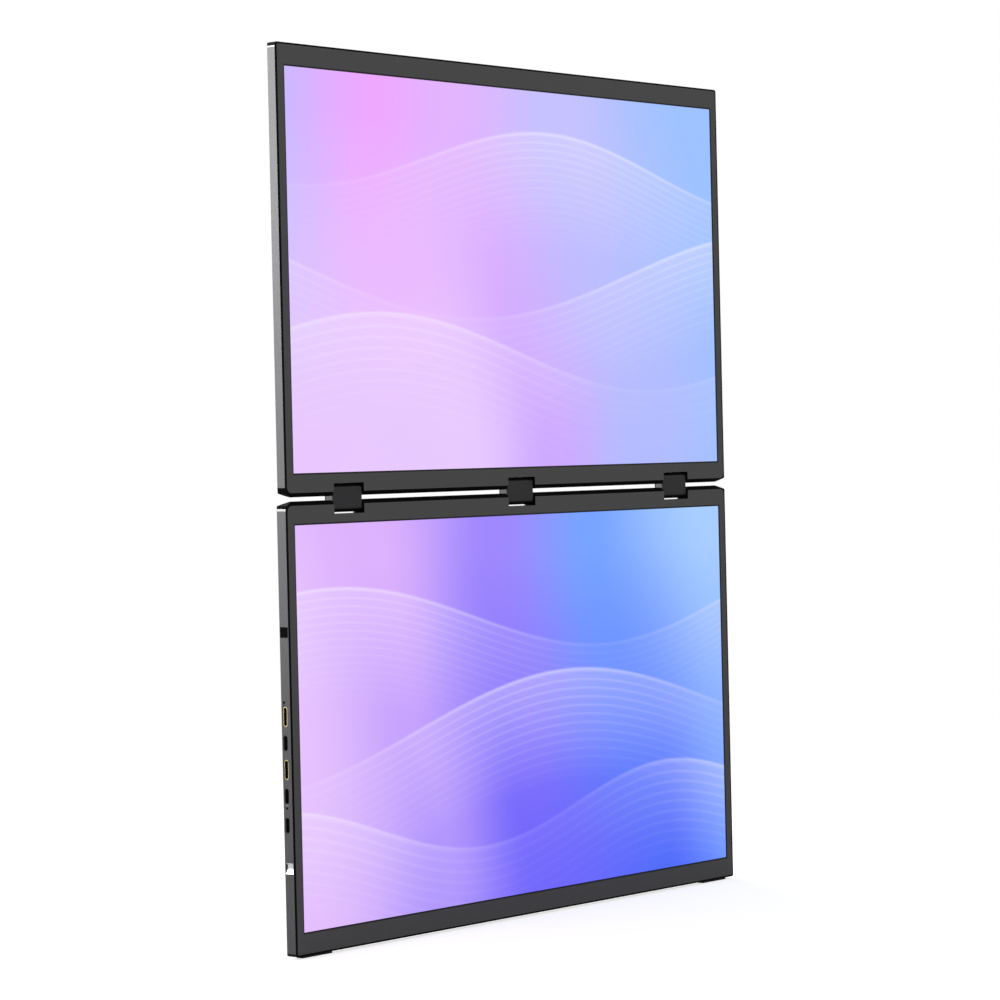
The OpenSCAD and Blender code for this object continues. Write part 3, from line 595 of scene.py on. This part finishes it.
@dataclass(frozen=True)
class ClearSheet:
    """Milky clear plastic of a light guide, with its rows of light dots."""

    name: str
    colour: Colour
    dot_scale: float = 700.0
    dot_scatter: float = 0.2
    dot_span: Span = (0.2, 0.3)
    tint: float = 0.9
    rough: Span = (0.12, 0.4)
    bending: float = 1.49

    def material(self) -> bpy.types.Material:
        """Builds the material.

        Returns:
            The material.
        """
        shader = Shader.named(self.name)
        dots = shader.spread(shader.cells(self.dot_scale, self.dot_scatter), self.dot_span, (1.0, 0.0))
        shader.surface({
            "Base Color": shader.mix(dots, tinted(self.colour, self.tint), WHITE),
            "Roughness": shader.spread(dots, SHARE, self.rough),
            "IOR": self.bending,
        })
        return shader.owner


@dataclass(frozen=True)
class LampStrip:
    """White strip with the yellow faces of its lamps, one to each pitch in metres."""

    name: str
    pitch: float = 0.0055
    face: Span = (0.23, 0.77)
    strip_colour: Colour = (0.82, 0.82, 0.8)
    lamp_colour: Colour = (0.86, 0.68, 0.16)
    roughness: float = 0.5
    swing: float = 0.1
    grain: float = 900.0

    def material(self) -> bpy.types.Material:
        """Builds the material.

        Returns:
            The material.
        """
        shader = Shader.named(self.name)
        pitches = shader.math("DIVIDE", shader.axis(Axis.X), self.pitch)
        lamp = shader.within(shader.math("FRACT", pitches), self.face)
        shader.surface({
            "Base Color": shader.mix(lamp, self.strip_colour, self.lamp_colour),
            "Roughness": shader.vary(shader.noise(self.grain), self.roughness, self.swing),
        })
        return shader.owner


@dataclass(frozen=True)
class Band:
    """A rolling band of a picture.

    Its level and swing are shares of the height, turns is the number of its waves across the picture,
    phase is in radians, and the fine rings under it stand closer the higher rings is.
    """

    level: float
    swing: float
    turns: float
    phase: float
    rings: float


@dataclass(frozen=True)
class LitScreen:
    """A screen with soft rolling bands of colour on its lit area, and a black rim round it.

    The heights of the lit area and its front are in metres, drift_scale and grain are in cycles per metre,
    and what describes the picture is in shares of its width or height.
    """

    name: str
    heights: Span
    high_stops: Stops
    low_stops: Stops
    bands: tuple[Band, ...]
    front: float = -0.0041
    glass: Colour = (0.006, 0.006, 0.007)
    roughness: float = 0.43
    swing: float = 0.03
    gloss: float = 0.18
    grain: float = 7000.0
    tilt: float = 0.12
    drift: float = 0.22
    drift_scale: float = 5.0
    lean_span: Span = (0.0, 1.1)
    blend: Span = (0.1, 0.9)
    body_h: float = 0.3
    body_share: float = 0.22
    body_colour: Colour = (0.9, 0.82, 1.0)
    crest_h: float = 0.006
    crest_share: float = 0.3
    ring_span: Span = (0.2, 1.0)
    ring_share: float = 0.14
    line_colour: Colour = (0.96, 0.93, 1.0)
    fade_turn: float = 5.0
    fade: Span = (0.15, 1.0)

    def material(self) -> bpy.types.Material:
        """Builds the material.

        Returns:
            The material.
        """
        shader = Shader.named(self.name)
        across = shader.math("MULTIPLY_ADD", shader.axis(Axis.X), 0.5 / LIT_HALF_W, 0.5)
        low, high = self.heights
        up = shader.math("DIVIDE", shader.math("SUBTRACT", shader.axis(Axis.Z), low), high - low)
        inside = shader.math("MULTIPLY", shader.within(across, SHARE), shader.within(up, SHARE))
        facing = shader.math("LESS_THAN", shader.axis(Axis.Y), self.front)
        picture = self.ground(shader, across, up)
        for band in self.bands:
            picture = self.rolled(shader, picture, band, across, up)
        shader.surface({
            "Base Color": opaque(self.glass),
            "Roughness": shader.vary(shader.noise(self.grain, detail=1.0), self.roughness, self.swing),
            "Specular IOR Level": self.gloss,
            "Emission Color": picture,
            "Emission Strength": shader.math("MULTIPLY", inside, facing),
        })
        return shader.owner

    def ground(self, shader: Shader, across: Socket, up: Socket) -> Socket:
        """Draws the colours behind the bands.

        Args:
            shader: the material's node tree.
            across: 0 at the left edge of the lit area and 1 at the right edge.
            up: 0 at the bottom edge and 1 at the top edge.

        Returns:
            The colour socket.
        """
        drift = shader.math("SUBTRACT", shader.noise(self.drift_scale, detail=1.0), 0.5)
        lean = shader.math("MULTIPLY_ADD", up, self.tilt, across)
        lean = shader.spread(shader.math("MULTIPLY_ADD", drift, self.drift, lean), self.lean_span)
        high, low = shader.ramp(lean, self.high_stops), shader.ramp(lean, self.low_stops)
        return shader.mix(shader.spread(up, self.blend), low, high)

    def rolled(self, shader: Shader, colour: Socket, band: Band, across: Socket, up: Socket) -> Socket:
        """Draws a band, with a bright crest and fine rings under it.

        Args:
            shader: the material's node tree.
            colour: what the band is drawn on.
            band: the band.
            across: 0 at the left edge of the lit area and 1 at the right edge.
            up: 0 at the bottom edge and 1 at the top edge.

        Returns:
            The colour socket.
        """
        wave = shader.math("MULTIPLY_ADD", across, 2.0 * math.pi * band.turns, band.phase)
        crest = shader.math("MULTIPLY_ADD", shader.math("SINE", wave), band.swing, band.level)
        under = shader.math("SUBTRACT", crest, up)
        body = shader.spread(under, (0.0, self.body_h), (1.0, 0.0))
        body = shader.math("MULTIPLY", body, shader.math("GREATER_THAN", under, 0.0))
        line = shader.spread(shader.math("ABSOLUTE", under), (0.0, self.crest_h), (1.0, 0.0))
        rings = shader.math("SINE", shader.math("MULTIPLY", under, band.rings))
        rings = shader.math("MULTIPLY", shader.spread(rings, self.ring_span), body)
        turn = shader.math("MULTIPLY_ADD", across, self.fade_turn, band.phase)
        fade = shader.spread(shader.math("SINE", turn), (-1.0, 1.0), self.fade)
        glow = shader.math("MULTIPLY", shader.math("MULTIPLY", body, self.body_share), fade)
        line = shader.math("MULTIPLY", line, self.crest_share)
        fine = shader.math("MULTIPLY", shader.math("MULTIPLY_ADD", rings, self.ring_share, line), fade)
        return shader.mix(fine, shader.mix(glow, colour, self.body_colour), self.line_colour)


@dataclass(frozen=True)
class Finishes:
    """The finish of every material slot of the record, but the screens, which have one each."""

    # The cover's black past its far-corner heights and in its pinholes is painted shade, and its wall strips
    # are painted highlights
    cover: BlastedMetal = BlastedMetal(
        "cover_metal", (0.095, 0.095, 0.099), 0.31, bare=(0.0031, 0.5159), pinholes=PINHOLES
    )
    stand: BlastedMetal = BlastedMetal("stand_metal", (0.095, 0.095, 0.099), 0.32)
    # The sleeve's black past its face heights is painted shade on the rounded ends
    sleeve: MouldedPlastic = MouldedPlastic(
        "sleeve_paint", (0.026, 0.026, 0.0275), 0.5, 0.08,
        grain=5200.0, depth=0.000004, face=(0.25345, 0.26605),
    )
    black: MouldedPlastic = MouldedPlastic(
        "black_plastic", (0.003, 0.003, 0.0032), 0.55, 0.02, depth=0.000004
    )
    part: MouldedPlastic = MouldedPlastic("part_plastic", (0.0035, 0.0035, 0.0038), 0.6, 0.03)
    key: MouldedPlastic = MouldedPlastic("key_plastic", (0.03, 0.03, 0.032), 0.42, 0.3)
    film: MouldedPlastic = MouldedPlastic("ribbon_film", (0.78, 0.77, 0.71), 0.4, 0.5, grain=900.0)
    bezel: BezelSheet = BezelSheet("bezel_sheet", (0.055, 0.055, 0.056))
    tray: BareMetal = BareMetal("tray_steel", (0.55, 0.56, 0.58), 0.36)
    hinge: BareMetal = BareMetal("hinge_steel", (0.10, 0.10, 0.105), 0.42)
    bronze: BareMetal = BareMetal("disc_bronze", (0.45, 0.33, 0.16), 0.34)
    screw: BareMetal = BareMetal("black_screw", (0.06, 0.06, 0.065), 0.35, along=(3000.0, 3000.0, 3000.0))
    insert: BareMetal = BareMetal("polished_insert", (0.85, 0.86, 0.88), 0.16)
    shell: SocketShell = SocketShell("socket_steel", (0.09, 0.09, 0.095))
    gold: SocketShell = SocketShell("socket_gold", (0.82, 0.68, 0.30))
    rubber: Rubber = Rubber("rubber", (0.012, 0.012, 0.012), 0.78)
    jacket: Rubber = Rubber("cable_jacket", (0.012, 0.012, 0.013), 0.6)
    board: CircuitBoard = CircuitBoard("circuit_board", (0.02, 0.12, 0.06))
    guide: ClearSheet = ClearSheet("light_guide", (0.86, 0.88, 0.90))
    lamps: LampStrip = LampStrip("lamp_strip")

    def by_slot(self) -> dict[str, bpy.types.Material]:
        """Returns the materials by the name of their slot."""
        finishes = [getattr(self, field.name) for field in fields(self)]
        return {finish.name: finish.material() for finish in finishes}


# Colours of the screens' pictures
LILAC, ROSE, VIOLET = (0.80, 0.55, 0.98), (0.82, 0.36, 0.96), (0.58, 0.36, 0.98)
PERIWINKLE, SKY, AZURE = (0.42, 0.46, 1.0), (0.30, 0.50, 1.0), (0.16, 0.34, 1.0)
DEEP, ROYAL = (0.14, 0.11, 0.95), (0.06, 0.13, 0.94)

SCREENS = {
    Panel.LOWER: LitScreen(
        "lower_screen",
        LOWER_LIT,
        high_stops=(
            (0.0, LILAC), (0.25, (0.70, 0.42, 0.96)), (0.48, (0.32, 0.22, 0.96)), (0.72, AZURE),
            (1.0, (0.36, 0.58, 1.0)),
        ),
        low_stops=(
            (0.0, (0.76, 0.50, 0.96)), (0.26, (0.40, 0.27, 0.96)), (0.46, DEEP), (0.78, ROYAL), (1.0, AZURE),
        ),
        bands=(
            Band(0.22, 0.08, 1.1, 2.0, 230.0),
            Band(0.46, 0.12, 0.7, 5.2, 270.0),
            Band(0.74, 0.10, 0.8, 1.2, 310.0),
        ),
    ),
    Panel.UPPER: LitScreen(
        "upper_screen",
        UPPER_LIT,
        high_stops=(
            (0.04, (0.54, 0.46, 1.0)), (0.26, ROSE), (0.42, (0.74, 0.42, 0.97)), (0.66, (0.52, 0.50, 1.0)),
            (1.0, SKY),
        ),
        low_stops=(
            (0.0, LILAC), (0.3, (0.78, 0.56, 0.98)), (0.5, VIOLET), (0.72, PERIWINKLE), (1.0, SKY),
        ),
        bands=(
            Band(0.30, 0.10, 0.8, 0.6, 230.0),
            Band(0.52, 0.13, 0.65, 3.1, 270.0),
            Band(0.80, 0.09, 0.9, 4.6, 310.0),
        ),
    ),
}


# ---------- pieces ----------


class Workshop:
    """Makes and dresses pieces, and keeps what every sub-assembly needs for that.

    Lengths are in metres and angles in radians.
    """

    merge_reach: float = 2e-6
    flat_angle: float = math.radians(0.5)
    sharp_angle: float = math.radians(28.0)
    smooth_angle: float = math.radians(50.0)
    edge_steps: int = 2
    most_corners: int = 4
    face_weight: int = 90
    pinhole_reach: float = 0.0006
    pinhole_depth: float = 0.01

    def __init__(self, record: dict, nodes: dict[str, bpy.types.Object]) -> None:
        """Reads the slots of the nodes and makes the materials.

        Args:
            record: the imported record.
            nodes: the frame's nodes by name.
        """
        self.nodes = nodes
        self.slots: dict[str, str] = {part["node"]: part["material_slot"] for part in record["subparts"]}
        self.bodies: dict[str, str] = {
            node: body for body, names in record["behaviour"]["bodies"].items() for node in names
        }
        self.materials = Finishes().by_slot()

    def dress(self, names: Iterable[str]) -> None:
        """Gives nodes the material of their slots.

        Args:
            names: the nodes.
        """
        for name in names:
            self.paint(self.nodes[name], self.materials[self.slots[name]])
            LOG.info("dressed node %s as %s", name, self.slots[name])

    def paint(self, piece: bpy.types.Object, material: bpy.types.Material) -> None:
        """Puts one material on all of a piece.

        Args:
            piece: the piece.
            material: the material.
        """
        if not piece.material_slots:
            piece.data.materials.append(material)
        for slot in piece.material_slots:
            slot.material = material

    def soften(self, name: str, edge: Edge) -> None:
        """Replaces a node by a merged copy with broken edges.

        Args:
            name: the node.
            edge: how wide the broken edge is.
        """
        shape = bmesh.new()
        shape.from_mesh(self.nodes[name].data)
        bmesh.ops.remove_doubles(shape, verts=shape.verts, dist=self.merge_reach)
        bmesh.ops.dissolve_limit(
            shape, angle_limit=self.flat_angle, verts=shape.verts, edges=shape.edges, delimit={"NORMAL"}
        )
        sharp = [line for line in shape.edges if self.breaks(line)]
        bmesh.ops.bevel(
            shape, geom=sharp, offset=edge.value, offset_type="OFFSET", segments=self.edge_steps,
            profile=0.5, affect="EDGES", clamp_overlap=True, material=-1, loop_slide=True,
        )
        piece = self.piece(f"{name}_shell", shape, self.bodies[name], self.slots[name])
        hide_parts(name)

    def breaks(self, edge: bmesh.types.BMEdge) -> bool:
        """Says whether an edge is broken: a sharp one that isn't part of a pinhole.

        Args:
            edge: the edge.

        Returns:
            True where it is broken.
        """
        if len(edge.link_faces) != 2 or edge.calc_face_angle(0.0) <= self.sharp_angle:
            return False
        return not any(
            all(self.at_pinhole(vert.co, Vector(middle)) for vert in edge.verts) for middle in PINHOLES
        )

    def at_pinhole(self, spot: Vector, middle: Vector) -> bool:
        """Says whether a spot lies on the pinhole round middle."""
        near = (spot.yz - middle.yz).length < self.pinhole_reach
        return near and spot.x < middle.x + self.pinhole_depth

    def piece(self, name: str, shape: bmesh.types.BMesh, body: str, slot: str) -> bpy.types.Object:
        """Turns a bmesh into a finished piece.

        Args:
            name: the piece's name.
            shape: its mesh, in place, in metres.
            body: the body it rides on.
            slot: the material slot whose finish it takes.

        Returns:
            The new object.
        """
        large = [face for face in shape.faces if len(face.verts) > self.most_corners]
        bmesh.ops.triangulate(shape, faces=large)
        mesh = bpy.data.meshes.new(name)
        shape.to_mesh(mesh)
        shape.free()
        for polygon in mesh.polygons:
            polygon.use_smooth = True
        mesh.set_sharp_from_angle(angle=self.smooth_angle)
        made = bpy.data.objects.new(name, mesh)
        bpy.context.scene.collection.objects.link(made)
        self.settle(made)
        self.paint(made, self.materials[slot])
        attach(made, body)
        LOG.info("made %s on %s: %d faces", name, body, len(made.data.polygons))
        return made

    def settle(self, piece: bpy.types.Object) -> None:
        """Lets large faces set the shading at their edges, so that a flat wall looks flat up to its bevel.

        Args:
            piece: the piece whose mesh gets the weighted normals.
        """
        weighted = piece.modifiers.new("weighted", "WEIGHTED_NORMAL")
        weighted.keep_sharp = True
        weighted.weight = self.face_weight
        graph = bpy.context.evaluated_depsgraph_get()
        plain = piece.data
        piece.data = bpy.data.meshes.new_from_object(piece.evaluated_get(graph), depsgraph=graph)
        piece.modifiers.clear()
        bpy.data.meshes.remove(plain)
        piece.data.name = piece.name

    def block(self, shape: bmesh.types.BMesh, low: Sequence[float], high: Sequence[float]) -> None:
        """Adds a block to a bmesh.

        Args:
            shape: the bmesh.
            low: the block's lowest corner, in millimetres.
            high: its highest corner, in millimetres.
        """
        size = [(b - a) * MM for a, b in zip(low, high)]
        middle = [(a + b) / 2.0 * MM for a, b in zip(low, high)]
        place = Matrix.Translation(middle) @ Matrix.Diagonal((*size, 1.0))
        bmesh.ops.create_cube(shape, size=1.0, matrix=place)


@dataclass
class ScreenPanel:
    """One panel: its cover, hinge rail, black frame, bezel, lit screen and what is inside."""

    workshop: Workshop
    panel: Panel
    inside: tuple[str, ...] = (
        "light_guide", "led_bar", "module_tray", "driver_board", "hinge_brackets", "hinge_shafts",
        "friction_discs", "cable_barrel", "bracket_screws", "cover_screws", "cable",
    )

    def build(self) -> None:
        """Makes and dresses the panel's pieces."""
        name, screen = self.panel.value, SCREENS[self.panel]
        self.workshop.soften(f"{name}_rear_cover", Edge.METAL)
        self.workshop.soften(f"{name}_hinge_rail", Edge.MOULDED)
        self.workshop.soften(f"{name}_mid_frame", Edge.SHEET)
        self.workshop.soften(f"{name}_bezel", Edge.SHEET)
        self.workshop.paint(self.workshop.nodes[f"{name}_lcd_cell"], screen.material())
        LOG.info("dressed node %s_lcd_cell as %s", name, screen.name)
        self.workshop.dress(f"{name}_{part}" for part in self.inside)


@dataclass
class HingeBlocks:
    """The three blocks between the panels."""

    workshop: Workshop
    sleeves: tuple[str, ...] = ("left_hinge_sleeve", "middle_hinge_sleeve", "right_hinge_sleeve")
    inside: tuple[str, ...] = (
        "left_friction_pack", "middle_end_plates", "right_friction_pack", "link_cable",
    )

    def build(self) -> None:
        """Makes and dresses the blocks' pieces."""
        for name in self.sleeves:
            self.workshop.soften(name, Edge.MOULDED)
        self.workshop.dress(self.inside)


@dataclass(frozen=True)
class Tongue:
    """The tongue of one socket, in millimetres, and its row of contacts on both faces."""

    z: float
    faces: Span
    half_w: float
    root: float
    count: int
    tip: float = -211.1
    contact_w: float = 0.25
    contact_t: float = 0.03
    margin: float = 0.4

    def contacts(self, workshop: Workshop, shape: bmesh.types.BMesh) -> None:
        """Adds the contacts to a bmesh.

        Args:
            workshop: makes the blocks.
            shape: the bmesh.
        """
        pitch = 2.0 * (self.half_w - self.margin) / (self.count - 1)
        for number in range(self.count):
            z = self.z - self.half_w + self.margin + pitch * number
            for y in (self.faces[0] - self.contact_t, self.faces[1]):
                low = (self.tip, y, z - self.contact_w / 2.0)
                high = (self.root - self.margin, y + self.contact_t, z + self.contact_w / 2.0)
                workshop.block(shape, low, high)


@dataclass
class LowerFittings:
    """What only the lower panel has: boards, sockets, speakers, keys' board, feet and stand pivots."""

    workshop: Workshop
    plain: tuple[str, ...] = (
        "main_board", "board_screws", "board_chips", "shield_can", "usb_c_shells", "mini_hdmi_shells",
        "socket_tongues", "speakers", "display_ribbon", "key_board", "pivot_pins",
    )
    soft: tuple[str, ...] = ("feet", "pivot_housings", "grip_inserts")
    tongues: tuple[Tongue, ...] = (
        Tongue(137.25, (-0.55, 0.15), 4.0, -205.6, 10),
        Tongue(122.25, (-0.45, 0.25), 3.3, -205.2, 12),
        Tongue(107.25, (-0.55, 0.15), 4.0, -205.6, 10),
        Tongue(92.25, (-0.45, 0.25), 3.3, -205.2, 12),
        Tongue(75.75, (-0.45, 0.25), 3.3, -205.2, 12),
    )

    def build(self) -> None:
        """Makes and dresses the fittings."""
        self.workshop.dress(self.plain)
        for name in self.soft:
            self.workshop.soften(name, Edge.MOULDED)
        shape = bmesh.new()
        for tongue in self.tongues:
            tongue.contacts(self.workshop, shape)
        self.workshop.piece("socket_contacts", shape, "lower_panel", "socket_gold")


@dataclass
class UpperFittings:
    """What only the upper panel has: a thin dark strip in each notch that closes the gap above the block and
    stands in for its shade, in millimetres.
    """

    workshop: Workshop
    middles: tuple[float, ...] = (-158.5, 0.0, 158.5)
    half_w: float = 12.9
    depths: Span = (-3.4, 3.0)
    heights: Span = (268.10, 268.25)

    def build(self) -> None:
        """Makes the strips."""
        # painted shade: dark strips that close the gaps above the blocks
        shape = bmesh.new()
        for x in self.middles:
            low = (x - self.half_w, self.depths[0], self.heights[0])
            high = (x + self.half_w, self.depths[1], self.heights[1])
            self.workshop.block(shape, low, high)
        self.workshop.piece("notch_shade_strips", shape, "upper_panel", "rubber")


@dataclass
class Kickstand:
    """The plate that folds out of the back, with its arms, screws and rubber edge."""

    workshop: Workshop

    def build(self) -> None:
        """Makes and dresses the stand's pieces."""
        self.workshop.soften("kickstand_plate", Edge.METAL)
        self.workshop.soften("kickstand_arms", Edge.MOULDED)
        self.workshop.soften("kickstand_edge_strip", Edge.MOULDED)
        self.workshop.dress(["kickstand_screws"])


@dataclass
class EdgeKeys:
    """The three keys on the right edge."""

    workshop: Workshop
    names: tuple[str, ...] = ("power_key", "plus_key", "minus_key")

    def build(self) -> None:
        """Makes the keys with soft edges."""
        for name in self.names:
            self.workshop.soften(name, Edge.MOULDED)


# ---------- studio ----------


@dataclass(frozen=True)
class SoftBox:
    """A rectangular lamp that the camera doesn't see, in metres and watts."""

    name: str
    place: Point
    aim: Point
    size: Span
    power: float

    def build(self) -> None:
        """Hangs the lamp."""
        lamp = bpy.data.lights.new(self.name, "AREA")
        lamp.shape = "RECTANGLE"
        lamp.size, lamp.size_y = self.size
        lamp.energy = self.power
        holder = bpy.data.objects.new(self.name, lamp)
        bpy.context.scene.collection.objects.link(holder)
        holder.location = self.place
        holder.rotation_mode = "QUATERNION"
        holder.rotation_quaternion = (Vector(self.aim) - Vector(self.place)).to_track_quat("-Z", "Y")
        holder.visible_camera = False


@dataclass(frozen=True)
class Studio:
    """Floor, sky, lamps and camera, in metres.

    The lens and its sensor are in millimetres, and the shift is a share of the picture's width.
    """

    eye: Point = (-1.66596, -1.34642, 0.28500)
    ahead: Point = (0.77486, 0.63208, -0.00683)
    across: Point = (0.63181, -0.77478, -0.02313)
    lens: float = 126.16
    sensor_w: float = 36.0
    shift: float = -0.026
    clip: Span = (0.05, 60.0)
    floor_r: float = 1.6
    floor_sides: int = 96
    floor_z: float = -0.0001
    floor_fade: Span = (0.45, 1.2)
    floor_grain: float = 60.0
    floor_greys: Span = (0.59, 0.61)
    floor_glow: float = 0.62
    even: float = 0.5
    gloss: tuple[Span, ...] = ((0.0, 0.3), (0.42, 0.5), (0.52, 1.0), (0.62, 1.0), (0.8, 0.12))
    lamps: tuple[SoftBox, ...] = (
        SoftBox("front_lamp", (-1.3, -2.0, 1.5), (0.0, 0.0, 0.25), (1.6, 1.6), 25.0),
        SoftBox("right_lamp", (2.0, -1.5, 1.0), (0.0, 0.0, 0.25), (1.4, 1.4), 5.0),
        SoftBox("side_lamp", (-1.38, 1.15, 0.86), (-0.2, 0.0, 0.5), (0.6, 0.8), 8.2),
        SoftBox("low_lamp", (-1.38, 1.15, 0.32), (-0.2, 0.0, 0.3), (0.6, 0.5), 2.0),
        SoftBox("high_lamp", (-1.1, 1.4, 1.5), (-0.2, 0.0, 0.4), (0.5, 0.5), 16.0),
        SoftBox("back_lamp", (0.9, 2.2, 1.4), (0.0, 0.0, 0.25), (1.6, 1.6), 24.0),
    )

    def build(self) -> None:
        """Sets up the studio."""
        bpy.context.scene.view_settings.view_transform = "Standard"
        self.sky()
        self.floor()
        self.camera()
        for lamp in self.lamps:
            lamp.build()

    def sky(self) -> None:
        """Makes a white surrounding for camera and glass, a banded one for gloss, and an even light."""
        world = bpy.data.worlds.new("sky")
        bpy.context.scene.world = world
        sky = Shader(world)
        path = sky.add("ShaderNodeLightPath").outputs
        seen = sky.math("MAXIMUM", path["Is Camera Ray"], path["Is Transmission Ray"])
        share = sky.math("MULTIPLY_ADD", sky.axis(Axis.Z), 0.5, 0.5)
        gloss = sky.ramp(share, tuple((at, grey(level)) for at, level in self.gloss))
        light = sky.mix(seen, sky.mix(path["Is Glossy Ray"], grey(self.even), gloss), WHITE)
        background = sky.add("ShaderNodeBackground", {"Color": light, "Strength": 1.0})
        sky.add("ShaderNodeOutputWorld", {"Surface": background.outputs["Background"]})

    def floor(self) -> None:
        """Lays a plain pale floor that fades into the white surrounding."""
        shape = bmesh.new()
        bmesh.ops.create_circle(shape, cap_ends=True, segments=self.floor_sides, radius=self.floor_r)
        mesh = bpy.data.meshes.new("floor")
        shape.to_mesh(mesh)
        shape.free()
        floor = bpy.data.objects.new("floor", mesh)
        bpy.context.scene.collection.objects.link(floor)
        floor.location = (0.0, 0.0, self.floor_z)
        mesh.materials.append(self.floor_material())

    def floor_material(self) -> bpy.types.Material:
        """Builds the floor's material, which glows for the camera and through clear pieces alone.

        Returns:
            The material.
        """
        shader = Shader.named("floor")
        path = shader.add("ShaderNodeLightPath").outputs
        away = shader.add("ShaderNodeVectorMath", {0: shader.place}, operation="LENGTH").outputs["Value"]
        dark, light = self.floor_greys
        pale = shader.mix(shader.noise(self.floor_grain, detail=3.0), grey(dark), grey(light))
        matt = shader.add("ShaderNodeBsdfDiffuse", {"Color": pale}).outputs[0]
        glow = {"Color": opaque(WHITE), "Strength": self.floor_glow}
        glow = shader.add("ShaderNodeEmission", glow).outputs[0]
        lit = shader.add("ShaderNodeAddShader", {0: matt, 1: glow}).outputs[0]
        clear = shader.add("ShaderNodeBsdfTransparent").outputs[0]
        seen = shader.math("MAXIMUM", path["Is Camera Ray"], path["Is Transmission Ray"])
        near = shader.add("ShaderNodeMixShader", {0: seen, 1: matt, 2: lit}).outputs[0]
        fade = shader.spread(away, self.floor_fade)
        shader.output(shader.add("ShaderNodeMixShader", {0: fade, 1: near, 2: clear}).outputs[0])
        return shader.owner

    def camera(self) -> None:
        """Sets up the camera."""
        back = -Vector(self.ahead).normalized()
        right = Vector(self.across)
        right = (right - back * right.dot(back)).normalized()
        above = back.cross(right)
        data = bpy.data.cameras.new("camera")
        data.sensor_width = self.sensor_w
        data.lens = self.lens
        data.shift_y = self.shift
        data.clip_start, data.clip_end = self.clip
        holder = bpy.data.objects.new("camera", data)
        bpy.context.scene.collection.objects.link(holder)
        turn = Matrix((right, above, back)).transposed().to_4x4()
        holder.matrix_world = Matrix.Translation(self.eye) @ turn
        bpy.context.scene.camera = holder


def main() -> None:
    """Builds the object's looks and the studio."""
    logging.basicConfig(level=logging.INFO, format="%(message)s")
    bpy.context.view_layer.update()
    Studio().build()
    workshop = Workshop(frame["record"], frame["nodes"])
    for panel in Panel:
        ScreenPanel(workshop, panel).build()
    HingeBlocks(workshop).build()
    LowerFittings(workshop).build()
    UpperFittings(workshop).build()
    Kickstand(workshop).build()
    EdgeKeys(workshop).build()


if __name__ == "__main__":
    main()
